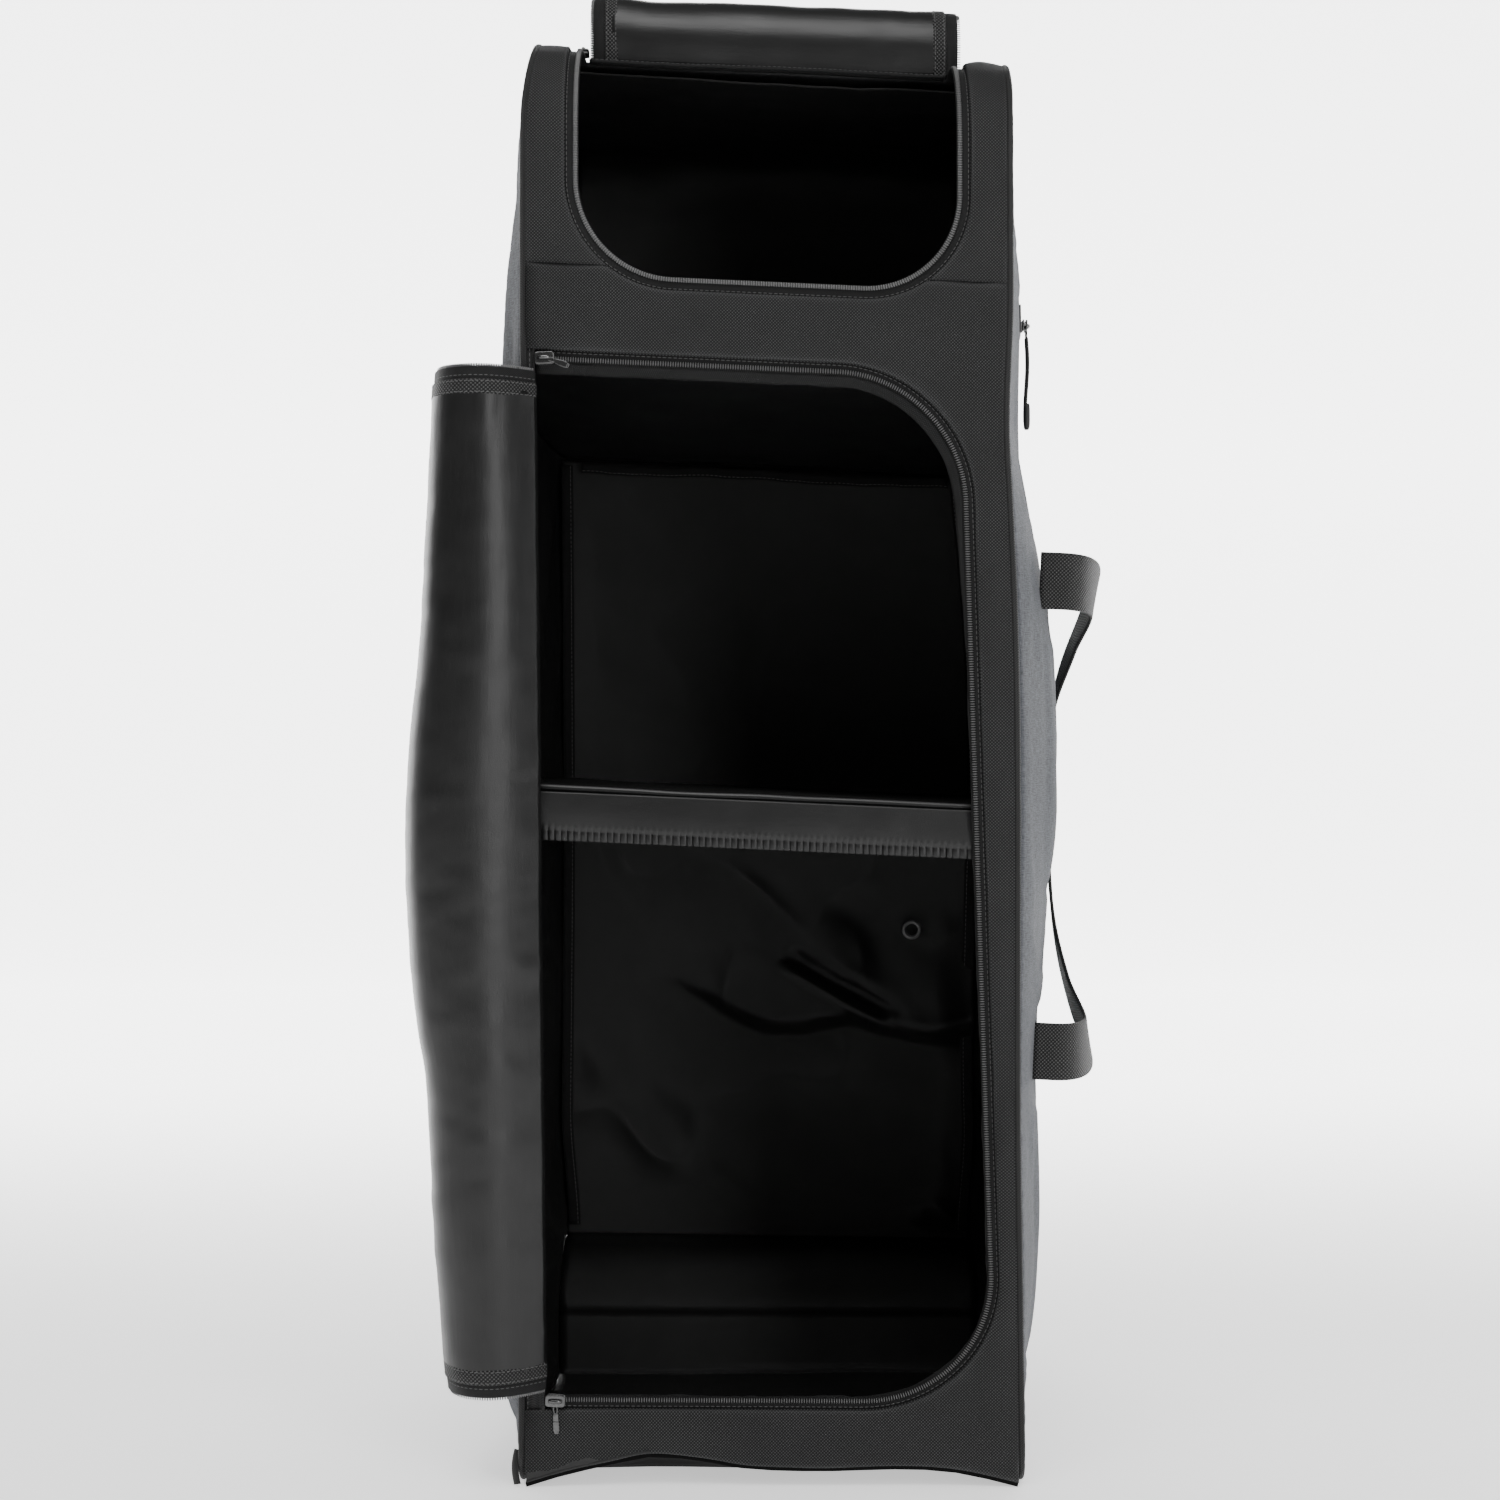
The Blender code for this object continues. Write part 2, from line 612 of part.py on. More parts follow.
def make_hinges_and_zips():
    z = np.linspace(OPENING_BOTTOM + GAP, OPENING_TOP - GAP, 9)
    low, high = seam_x(-1, z) + SEAM_INSET, hinge_x(z)
    x = low[:, None] + (high - low)[:, None] * np.linspace(0.0, 1.0, 3)[None, :]
    strip = np.stack(np.broadcast_arrays(x, FRONT, z[:, None]), axis=-1)
    sheet("hinge_strip", settle(strip), WALL, "webbing")

    rails = []
    for inset in (ZIP_WIDTH + GAP, GAP):
        start = (HINGE_X_TOP + GAP, OPENING_TOP - inset, 0.0)
        end = (HINGE_X_BOTTOM + GAP, OPENING_BOTTOM + inset, 0.0)
        rails.append(rounded([start, *opening_corners(inset), end], arc_steps=8, run_steps=6))
    rails = np.array(rails)
    grid = np.stack(np.broadcast_arrays(rails[..., 0], FRONT, rails[..., 1]), axis=-1)
    sheet("main_zip", settle(grid), ZIP_THICK, "zip")

    rails = np.array([
        rounded(upper_corners(inset, UPPER_HINGE_S - 2 * GAP), arc_steps=6, run_steps=12)
        for inset in (ZIP_WIDTH + GAP, GAP)
    ])
    sheet("top_zip", settle(on_girth(rails[..., 0], rails[..., 1]))[::-1], ZIP_THICK, "zip")


def curl(along):
    """How far the main flap has run to the left and back, in metres, at shares of its cut width."""
    share = np.linspace(0.0, 1.0, 401)
    heading = np.radians(read_table(CURL, CURL_COLUMNS, "heading", share))
    step = FLAP_CUT_WIDTH / 400
    out = np.concatenate([[0.0], np.cumsum(np.cos(heading[1:]))]) * step
    back = np.concatenate([[0.0], np.cumsum(np.sin(heading[1:]))]) * step
    return np.interp(along, share, out), np.interp(along, share, back)


def on_main_flap(u, z):
    """Points of the main flap at a distance u from its hinge and a height z."""
    out, back = curl(u / FLAP_CUT_WIDTH)
    reach = read_table(REACH, REACH_COLUMNS, "reach", (z - FLAP_BOTTOM) / (FLAP_TOP - FLAP_BOTTOM))
    return np.stack([hinge_x(z) - GAP - out * reach, FRONT - FLAP_THICK / 2 - GAP + back, z], axis=-1)


def on_upper_flap(x, along):
    """Points of the upper flap at x and a share of its length from the hinge."""
    back = UPPER_FLAP_RUN * read_table(ROLL, ROLL_COLUMNS, "back", along)
    rise = 2 * GAP + UPPER_FLAP_RISE * read_table(ROLL, ROLL_COLUMNS, "rise", along)
    return np.stack(np.broadcast_arrays(x, FRONT + UPPER_HINGE_BACK + back, HEIGHT + rise), axis=-1)


def make_main_flap():
    def limits(u, margin):
        reach = FLAP_RADIUS - margin
        past = np.clip(u - (FLAP_CUT_WIDTH - FLAP_RADIUS), 0.0, reach)
        cut = margin + reach - np.sqrt(reach**2 - past**2)
        return FLAP_BOTTOM + cut, FLAP_TOP - cut

    margin = BORDER_WIDTH + BORDER_GAP
    turn = np.linspace(0.0, math.pi / 2, 5)[1:]
    corner = FLAP_CUT_WIDTH - FLAP_RADIUS + (FLAP_RADIUS - margin) * np.sin(turn)
    u = np.concatenate([np.linspace(0.0, FLAP_CUT_WIDTH - FLAP_RADIUS, 15), corner])
    low, high = limits(u, margin)
    z = low[:, None] + (high - low)[:, None] * np.linspace(0.0, 1.0, 13)[None, :]
    grid = on_main_flap(np.broadcast_to(u[:, None], z.shape), z)
    sheet("main_flap", grid, FLAP_THICK, "satin", offset=0.0)

    rails = []
    for margin in (BORDER_WIDTH, BORDER_WIDTH / 2, 0.0):
        rails.append(rounded([
            (0.0, FLAP_BOTTOM + margin, 0.0),
            (FLAP_CUT_WIDTH - margin, FLAP_BOTTOM + margin, FLAP_RADIUS - margin),
            (FLAP_CUT_WIDTH - margin, FLAP_TOP - margin, FLAP_RADIUS - margin),
            (0.0, FLAP_TOP - margin, 0.0),
        ], arc_steps=6, run_steps=12))
    rails = np.array(rails)
    sheet("main_flap_border", on_main_flap(rails[..., 0], rails[..., 1]), FLAP_THICK, "webbing", offset=0.0)


def upper_flap_corners(margin):
    low = UPPER_FLAP_CENTRE - UPPER_FLAP_HALF_WIDTH + margin
    high = UPPER_FLAP_CENTRE + UPPER_FLAP_HALF_WIDTH - margin
    length = UPPER_FLAP_RUN + UPPER_FLAP_RISE
    radius = UPPER_RADIUS - margin
    return [(low, 0.0, 0.0), (low, length - margin, radius), (high, length - margin, radius), (high, 0.0, 0.0)]


def make_upper_flap():
    length = UPPER_FLAP_RUN + UPPER_FLAP_RISE
    margin = BORDER_WIDTH + BORDER_GAP
    reach = UPPER_RADIUS - margin
    turn = np.linspace(0.0, math.pi / 2, 5)[1:]
    v = np.concatenate([np.linspace(0.0, length - UPPER_RADIUS, 12), length - UPPER_RADIUS + reach * np.sin(turn)])
    past = np.clip(v - (length - UPPER_RADIUS), 0.0, reach)
    half = UPPER_FLAP_HALF_WIDTH - margin - reach + np.sqrt(reach**2 - past**2)
    x = UPPER_FLAP_CENTRE + half[:, None] * np.linspace(-1.0, 1.0, 9)[None, :]
    grid = on_upper_flap(x, np.broadcast_to(v[:, None], x.shape) / length)
    sheet("top_flap", settle(grid), FLAP_THICK, "satin", offset=0.0)

    rails = np.array([
        rounded(upper_flap_corners(margin), arc_steps=6, run_steps=10)
        for margin in (0.0, BORDER_WIDTH / 2, BORDER_WIDTH)
    ])
    sheet("top_flap_border", settle(on_upper_flap(rails[..., 0], rails[..., 1] / length)), FLAP_THICK, "webbing",
          offset=0.0)

    half = UPPER_HALF_WIDTH - ZIP_WIDTH - 2 * GAP
    x = UPPER_CENTRE + np.linspace(-half, half, 9)
    s = np.linspace(UPPER_HINGE_S - HINGE_BINDING_DEPTH, UPPER_HINGE_S - GAP, 3)
    sheet("hinge_binding", settle(on_girth(x[None, :], s[:, None])), WALL, "webbing")


def between_sides(y, z, thick):
    """Rows of points from side to side inside the bag, clear of both over a piece's thickness."""
    y, z = np.broadcast_arrays(y, z)
    ends = []
    for side in (-1, 1):
        reach = [np.abs(side_x(side, y + dy, z + dz)) for dy in (-thick, thick) for dz in (-thick, thick)]
        ends.append(side * (np.min(reach, axis=0) - WALL - SIDE_CLEARANCE))
    low, high = ends
    x = low[:, None] + (high - low)[:, None] * np.linspace(0.0, 1.0, 7)[None, :]
    return settle(np.stack(np.broadcast_arrays(x, y[:, None], z[:, None]), axis=-1))


def make_inside():
    rear = REAR - LINING_SETBACK - WALL - GAP
    y = np.linspace(FRONT + WALL + 4 * GAP, rear - 2 * GAP, 8)
    slope = (FLOOR_REAR_HEIGHT - FLOOR_FRONT_HEIGHT) / (y[-1] - y[0])
    floor = between_sides(y, FLOOR_FRONT_HEIGHT + slope * (y - y[0]), WALL)
    sheet("compartment_floor", floor, WALL, "lining")
    y = np.linspace(FRONT + SHELF_SETBACK, rear, 10)
    sheet("shelf", between_sides(y, SHELF_HEIGHT, SHELF_THICK), SHELF_THICK, "lining")
    z = np.linspace(SHELF_HEIGHT - LIP_HEIGHT, SHELF_HEIGHT, 3)
    sheet("shelf_lip", between_sides(FRONT + SHELF_SETBACK - GAP - WALL, z, WALL), WALL, "satin")
    z = np.linspace(HOUSING_TOP + WALL, FLOOR_REAR_HEIGHT - WALL - 4 * GAP, 11)
    sheet("rear_lining", between_sides(REAR - LINING_SETBACK, z, WALL), WALL, "lining", offset=1.0)


def carried_frames(points, width_way):
    """Width directions along a path, turned only as much as the path itself turns."""
    tangents = np.gradient(points, axis=0)
    tangents /= np.linalg.norm(tangents, axis=1)[:, None]
    ways = []
    way = np.array(width_way, float)
    for tangent in tangents:
        way = way - tangent * (way @ tangent)
        way /= np.linalg.norm(way)
        ways.append(way)
    return np.array(ways)


def through(knots, count):
    """A smooth path through knots, evenly divided."""
    knots = np.array(knots, float)
    lengths = np.concatenate([[0.0], np.cumsum(np.linalg.norm(np.diff(knots, axis=0), axis=1))])
    table = np.column_stack([lengths / lengths[-1], knots])
    names = ("along", "x", "y", "z")
    along = np.linspace(0.0, 1.0, count)
    return np.stack([read_table(table, names, name, along) for name in names[1:]], axis=-1)


def strap(name, path, width_way, width, thickness, material_name):
    ways = carried_frames(path, width_way)
    across = np.array([-0.5, 0.5]) * width
    grid = path[:, None, :] + ways[:, None, :] * across[None, :, None]
    return sheet(name, grid, thickness, material_name, offset=0.0)


def settled_point(x, back, z):
    return settle(np.array([x, FRONT + back, z]))


def make_handles():
    knots = []
    grip = float(side_x(1, FRONT + HANDLE_BACK, (HANDLE_UPPER_HEIGHT + HANDLE_LOWER_HEIGHT) / 2))
    for height, way in ((HANDLE_UPPER_HEIGHT, 1), (HANDLE_LOWER_HEIGHT, -1)):
        seat = height + np.array([-0.5, 0.0, 0.5]) * WEBBING_WIDTH
        start = float(np.max(side_x(1, FRONT + HANDLE_SETBACK + WEBBING_THICK, seat))) - GAP
        leg = [
            settled_point(start + out, HANDLE_SETBACK + back, height - way * drop) for out, back, drop in HANDLE_LEG
        ]
        leg += [settled_point(grip + out, HANDLE_BACK + back, height - way * drop) for out, back, drop in HANDLE_GRIP]
        knots += leg if way > 0 else leg[::-1]
    strap("carry_handle", through(knots, 41), (0.0, 0.0, 1.0), WEBBING_WIDTH, WEBBING_THICK, "webbing")

    seat = REAR + 3 * GAP
    path = through([
        (0.0, seat + out * PULL_HANDLE_REACH, PULL_HANDLE_TOP - down * PULL_HANDLE_LENGTH) for out, down in PULL_LOOP
    ], 21)
    strap("pull_handle", path, (1.0, 0.0, 0.0), WEBBING_WIDTH, WEBBING_THICK, "webbing")


def make_side_fittings():
    y = FRONT + np.linspace(SIDE_ZIP_FRONT, SIDE_ZIP_REAR, 9)
    z = SIDE_ZIP_HEIGHT + np.array([-0.5, 0.5]) * ZIP_WIDTH
    x = side_x(1, y[None, :], z[:, None]) + GAP + ZIP_THICK
    grid = np.stack(np.broadcast_arrays(x, y[None, :], z[:, None]), axis=-1)
    sheet("side_pocket_zip", settle(grid), ZIP_THICK, "zip")

    y = FRONT + SIDE_SLIDER_BACK
    x = float(side_x(1, y, SIDE_ZIP_HEIGHT)) + ZIP_THICK + 3 * GAP + SLIDER_THICK / 2
    seat = settle(np.array([x, y, SIDE_ZIP_HEIGHT]))
    block("side_slider", (SLIDER_THICK, SLIDER_LENGTH, SLIDER_WIDTH), seat, SLIDER_BEVEL, "slider_metal")
    top = seat + np.array([0.0, 0.0, -SLIDER_WIDTH / 2 - SIDE_PULL_RADIUS - 2 * GAP])
    front, rear = top[1] - SIDE_PULL_HALF, top[1] + SIDE_PULL_HALF
    low = top[2] - SIDE_PULL_LENGTH
    loop = rounded([
        (front, top[2], SIDE_PULL_TURN), (front, low, SIDE_PULL_TURN),
        (rear, low, SIDE_PULL_TURN), (rear, top[2], SIDE_PULL_TURN),
    ], arc_steps=3, run_steps=4)
    points = [(top[0], y, z) for y, z in loop]
    tube("side_zip_pull", points, SIDE_PULL_RADIUS, "webbing", sides=1, cyclic=True)

    z = np.linspace(SLEEVE_BOTTOM, SLEEVE_TOP, 13)
    y = FRONT + np.linspace(SLEEVE_FRONT, SLEEVE_REAR, 9)
    share = np.linspace(0.0, 1.0, 9)
    proud = SLEEVE_SWELL * np.sin(math.pi * share) ** SLEEVE_POWER
    bottom = smooth_step((z - SLEEVE_BOTTOM) / SLEEVE_RISE)
    x = side_x(1, y[None, :], z[:, None]) + SLEEVE_CLEARANCE + WALL + proud[None, :] * bottom[:, None]
    grid = np.stack(np.broadcast_arrays(x, y[None, :], z[:, None]), axis=-1)
    sheet("side_sleeve", settle(grid), WALL, "side_heather")


def make_sliders():
    ahead = FRONT - SLIDER_THICK / 2 - GAP
    spots = {
        "main_slider_upper": (HINGE_X_TOP + SLIDER_LENGTH / 2, OPENING_TOP - ZIP_WIDTH / 2),
        "main_slider_lower": (HINGE_X_BOTTOM + SLIDER_LENGTH / 2, OPENING_BOTTOM + ZIP_WIDTH / 2),
    }
    for name, (x, z) in spots.items():
        block(name, (SLIDER_LENGTH, SLIDER_THICK, SLIDER_WIDTH), settle(np.array([x, ahead, z])), SLIDER_BEVEL,
              "slider_metal")
    x, z = spots["main_slider_lower"]
    hang = settle(np.array([x, ahead, z])) - np.array([0.0, 0.0, SLIDER_WIDTH / 2 + GAP + PULL_LENGTH / 2])
    block("main_slider_pull", (PULL_WIDTH, PULL_THICK, PULL_LENGTH), hang, PULL_BEVEL, "slider_metal")

    x = UPPER_CENTRE - UPPER_HALF_WIDTH + ZIP_WIDTH / 2 + GAP
    y, z = girth(UPPER_HINGE_S - SLIDER_LENGTH)
    spot = settle(np.array([x, float(y), float(z) + SLIDER_THICK / 2 + GAP]))
    block("top_slider", (SLIDER_WIDTH, SLIDER_LENGTH, SLIDER_THICK), spot, SLIDER_BEVEL, "slider_metal")


def make_wheels():
    inner = [
        (HOUSING_FRONT, 0.0, 0.0),
        (HOUSING_FRONT, HOUSING_TOP, HOUSING_RADIUS),
        (REAR, HOUSING_TOP, 0.0),
        (REAR, HOUSING_TOP - HOUSING_WALL, 0.0),
        (HOUSING_FRONT + HOUSING_WALL, HOUSING_TOP - HOUSING_WALL, HOUSING_RADIUS - HOUSING_WALL),
        (HOUSING_FRONT + HOUSING_WALL, 0.0, 0.0),
    ]
    low, high = (float(seam_x(side, HOUSING_TOP)) for side in (-1, 1))
    housing = place(
        "wheel_housing", prism("wheel_housing", rounded(inner, arc_steps=8), "X", low, high), "moulded", smooth=False
    )
    room = WHEEL_WIDTH / 2 + CHEEK_ROOM
    lap = HOUSING_WALL / 2
    cheek = [
        (HOUSING_FRONT + lap, AXLE_Z - CHEEK_FOOT, 0.0),
        (HOUSING_FRONT + lap, HOUSING_TOP - lap, HOUSING_RADIUS - lap),
        (REAR - lap, HOUSING_TOP - lap, 0.0),
        (REAR - lap, AXLE_Z + CHEEK_BACK, 0.0),
        (AXLE_Y + CHEEK_REACH, AXLE_Z - CHEEK_FOOT, CHEEK_RADIUS),
    ]
    for side in (-1, 1):
        label = "left" if side < 0 else "right"
        centre = side * WHEEL_CENTRE_X
        for face, start in (("inner", centre - side * room), ("outer", centre + side * room)):
            way = -side if face == "inner" else side
            low, high = sorted((start, start + way * CHEEK_THICK))
            name = f"{label}_{face}_cheek"
            plate = cutter(name, prism(name, rounded(cheek, arc_steps=4), "X", low, high))
            combine(housing, plate, "UNION")
        length = 2 * (room + CHEEK_THICK)
        bore = bmesh.new()
        bmesh.ops.create_cone(bore, cap_ends=True, segments=24, radius1=AXLE_RADIUS + GAP,
                              radius2=AXLE_RADIUS + GAP, depth=2 * length)
        mesh = mesh_from(bore, label + "_axle_hole")
        move_points(mesh, lambda p: np.stack([p[:, 2] + centre, p[:, 0] + AXLE_Y, p[:, 1] + AXLE_Z], axis=-1))
        combine(housing, cutter(label + "_axle_hole", mesh), "DIFFERENCE")

        head = 2 * AXLE_RADIUS
        reach = length / 2
        turned("axle_" + label, [
            (-reach, 0.0), (-reach, AXLE_RADIUS), (reach + GAP, AXLE_RADIUS), (reach + GAP, head),
            (reach + GAP + AXLE_RADIUS / 2, head), (reach + GAP + AXLE_RADIUS / 2, 0.0),
        ] if side > 0 else [
            (-reach - GAP - AXLE_RADIUS / 2, 0.0), (-reach - GAP - AXLE_RADIUS / 2, head), (-reach - GAP, head),
            (-reach - GAP, AXLE_RADIUS), (reach, AXLE_RADIUS), (reach, 0.0),
        ], (centre, AXLE_Y, AXLE_Z), "steel", steps=16)
        w = WHEEL_WIDTH / 2
        web, side_rim = HUB_WEB * w, HUB_RIM * w
        rim = HUB_RADIUS - GAP / 2
        bore_radius = AXLE_RADIUS + GAP
        turned("hub_" + label, [
            (-w, bore_radius), (-w, bore_radius + HUB_WALL), (-web, bore_radius + HUB_WALL),
            (-web, rim - HUB_WALL), (-side_rim, rim - HUB_WALL), (-side_rim, rim),
            (side_rim, rim), (side_rim, rim - HUB_WALL), (web, rim - HUB_WALL),
            (web, bore_radius + HUB_WALL), (w, bore_radius + HUB_WALL), (w, bore_radius),
        ], (centre, AXLE_Y, AXLE_Z), "moulded")
        inside = HUB_RADIUS + GAP / 2
        shoulder = WHEEL_RADIUS - TYRE_SHOULDER
        turned("tyre_" + label, [
            (-w, inside), (-w, shoulder), (-TYRE_CROWN * w, WHEEL_RADIUS),
            (TYRE_CROWN * w, WHEEL_RADIUS), (w, shoulder), (w, inside),
        ], (centre, AXLE_Y, AXLE_Z), "tyre")


for thing in list(bpy.data.objects):
    bpy.data.objects.remove(thing, do_unlink=True)
parts = collection("wheeled_kit_bag")
cutters = collection("cutters")

main_opening, upper_opening, housing_notch = make_cutters()
make_girth_panels(main_opening, upper_opening, housing_notch)
make_sides(housing_notch)
make_piping()
make_hinges_and_zips()
make_main_flap()
make_upper_flap()
make_inside()
make_handles()
make_side_fittings()
make_sliders()
make_wheels()
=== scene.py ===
import math

import bpy
import numpy as np
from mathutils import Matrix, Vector


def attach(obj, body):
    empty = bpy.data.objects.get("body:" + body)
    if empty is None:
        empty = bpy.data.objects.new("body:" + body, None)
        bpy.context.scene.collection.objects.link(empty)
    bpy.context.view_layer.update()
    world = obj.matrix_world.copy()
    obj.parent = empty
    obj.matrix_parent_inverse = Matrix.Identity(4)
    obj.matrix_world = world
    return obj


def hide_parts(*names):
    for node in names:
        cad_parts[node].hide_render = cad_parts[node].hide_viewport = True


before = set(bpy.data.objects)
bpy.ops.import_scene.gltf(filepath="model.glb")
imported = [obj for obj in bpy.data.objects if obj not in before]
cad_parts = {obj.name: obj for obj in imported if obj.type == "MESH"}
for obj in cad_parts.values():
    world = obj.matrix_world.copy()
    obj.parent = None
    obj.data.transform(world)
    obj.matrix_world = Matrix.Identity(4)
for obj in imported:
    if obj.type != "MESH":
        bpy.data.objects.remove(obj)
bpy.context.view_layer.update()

# A wheeled kit bag, upright, with both zipped flaps open. Metres, front toward -Y, up +Z.
scene = bpy.context.scene
tau = 2 * math.pi
sides = ((-1, "left"), (1, "right"))

bag = dict(height=0.930, halfWidth=0.156, front=-0.165, rear=0.165, wall=0.0025, gap=0.0003,
           topFront=0.065, topRear=0.050, bottomFront=0.018, piping=0.0023, seamInset=0.0020,
           swell=0.040, swellRun=0.100, swellPower=2.6, sag=0.045, sagFrom=0.25,
           housingFront=0.092, housingTop=0.091, housingRadius=0.040, upperSeam=0.776)
bag["arcStart"] = bag["height"] - bag["topFront"]
bag["topStart"] = bag["arcStart"] + bag["topFront"] * math.pi / 2
bag["rearArc"] = bag["topStart"] + bag["rear"] - bag["front"] - bag["topFront"] - bag["topRear"]
bag["backStart"] = bag["rearArc"] + bag["topRear"] * math.pi / 2
bag["rearSeam"] = bag["rearArc"] - 0.010
bag["backEnd"] = bag["backStart"] + bag["height"] - bag["topRear"] - bag["housingTop"]

# Level sections: heights are shares of the height, seams of half the width, swells of the swell
sections = dict(
    height=[0, 0.06, 0.13, 0.27, 0.38, 0.49, 0.60, 0.68, 0.73, 0.82, 0.88, 0.94, 1],
    leftSeam=[1, 1, 0.99, 0.98, 0.975, 0.975, 0.98, 0.985, 0.99, 0.995, 0.995, 0.99, 0.955],
    rightSeam=[1.05, 1.045, 1.04, 1.03, 1.03, 1.03, 1.02, 1, 0.985, 1, 1, 1, 1.01],
    leftSwell=[0.30, 0.65, 0.70, 0.70, 0.70, 0.70, 0.68, 0.65, 0.62, 0.55, 0.35, 0.22, 0.10],
    rightSwell=[0.15, 0.30, 0.55, 0.55, 0.75, 1, 0.90, 0.65, 0.45, 0.42, 0.35, 0.22, 0.10])
arch = dict(across=[0, 0.08, 0.16, 0.25, 0.35, 0.45, 0.55, 0.90, 1],
            rise=[0, 0.40, 0.70, 1, 0.88, 0.60, 0.53, 0.40, 0], height=0.019)


# Shapes worked out on grids

def joined(*parts):
    # Coordinates of any shapes that fit together, joined into points
    return np.stack(np.broadcast_arrays(*parts), axis=-1)


def quarter(steps, start=0.0):
    # Even angles over a quarter turn
    return np.linspace(start, start + math.pi / 2, steps)


def spread(low, high, share):
    # A grid's rows, each from its low to its high: low plus their difference times the share
    return low[:, None] + (high - low)[:, None] * share[None]


def runAlong(path):
    # Distance from the start at each point of a path: running sum of the steps' lengths
    return np.concatenate([[0], np.cumsum(np.linalg.norm(np.diff(path, axis=0), axis=1))])


def eased(xs, ys, at):
    # Cubic Hermite through the points, with the mean gradient as each slope
    xs, ys = np.asarray(xs, float), np.asarray(ys, float)
    slopes = np.gradient(ys, xs)
    at = np.clip(np.asarray(at, float), xs[0], xs[-1])
    i = np.clip(np.searchsorted(xs, at, side="right") - 1, 0, len(xs) - 2)
    span = xs[i + 1] - xs[i]
    t = (at - xs[i]) / span
    return ((2 * t**3 - 3 * t**2 + 1) * ys[i] + (t**3 - 2 * t**2 + t) * span * slopes[i]
            + (3 * t**2 - 2 * t**3) * ys[i + 1] + (t**3 - t**2) * span * slopes[i + 1])


def smooth(share):
    # Cubic step: 3 t squared minus 2 t cubed
    share = np.clip(share, 0.0, 1.0)
    return share * share * (3 - 2 * share)


def unit(vectors):
    # Each vector divided by its length
    return vectors / np.maximum(np.linalg.norm(vectors, axis=-1, keepdims=True), 1e-12)


def cloud(u, v, seed):
    # Value noise from -1 to 1: random lattice values blended by a smooth step
    table = np.random.default_rng(seed).random((64, 64)) * 2 - 1
    u, v = np.broadcast_arrays(u, v)
    i, j = np.floor(u).astype(int), np.floor(v).astype(int)
    a, b = smooth(u - i), smooth(v - j)
    low = table[i % 64, j % 64] * (1 - a) + table[(i + 1) % 64, j % 64] * a
    high = table[i % 64, (j + 1) % 64] * (1 - a) + table[(i + 1) % 64, (j + 1) % 64] * a
    return low * (1 - b) + high * b


def clouds(u, v, seed, octaves=3):
    # Sum of value noises, each twice as fine and half as strong as the last
    return sum(cloud(u * 2**k + 7.3 * k, v * 2**k + 3.1 * k, seed + k) / 2**k for k in range(octaves))


def creases(u, v, seed):
    # Sharp ridges where the noise crosses nothing: one minus its size, cubed
    return (1 - np.abs(np.clip(clouds(u, v, seed, 2), -1, 1)))**3


def settle(points):
    # The loaded bag sags to the right: z loses a share of x, eased in from the floor
    points = np.array(points, float)
    points[..., 2] -= bag["sag"] * points[..., 0] * smooth(points[..., 2] / bag["sagFrom"])
    return points


def section(column, z):
    # A column of the section table, looked up at a height
    return eased(sections["height"], sections[column], np.asarray(z) / bag["height"])


def seamX(side, z):
    # X of a side's seam: half the width times that height's share
    return side * bag["halfWidth"] * section("leftSeam" if side < 0 else "rightSeam", z)


def archZ(x):
    # Underside of the front panel, arched off the floor between the two seams
    low, high = seamX(-1, 0.0) + bag["seamInset"], seamX(1, 0.0) - bag["seamInset"]
    return arch["height"] * eased(arch["across"], arch["rise"], (np.asarray(x) - low) / (high - low))


def sideEdges(z, inset):
    # Front and rear of a side at a height: the corner circles, drawn in by an inset
    def edge(radius, height):
        # How far a corner circle draws in: radius minus the root of reach squared less height squared
        reach = radius - inset
        return radius - np.sqrt(np.clip(reach**2 - np.clip(height, 0.0, reach)**2, 0.0, None))
    top = edge(bag["topFront"], z - bag["arcStart"])
    rear = edge(bag["topRear"], z - bag["height"] + bag["topRear"])
    foot = edge(bag["bottomFront"], bag["piping"] + bag["bottomFront"] - z)
    return bag["front"] + np.maximum(top, foot), bag["rear"] - rear


def sideX(side, y, z):
    # Outer x of a side: its seam, plus a swell that falls away toward every edge and the housing
    y, z = np.broadcast_arrays(np.asarray(y, float), np.asarray(z, float))
    across = np.clip(np.abs(y / bag["rear"]), 0.0, 1.0)
    fromEnd = np.clip(np.minimum(z, bag["height"] - z) / bag["swellRun"], 0.0, 1.0)
    full = (1 - across**bag["swellPower"]) * (1 - (1 - fromEnd)**bag["swellPower"])
    fromHousing = np.maximum(bag["housingFront"] - y, z - bag["housingTop"]) / bag["swellRun"]
    swell = bag["swell"] * section("leftSwell" if side < 0 else "rightSwell", z)
    return seamX(side, z) + side * swell * full * smooth(fromHousing)


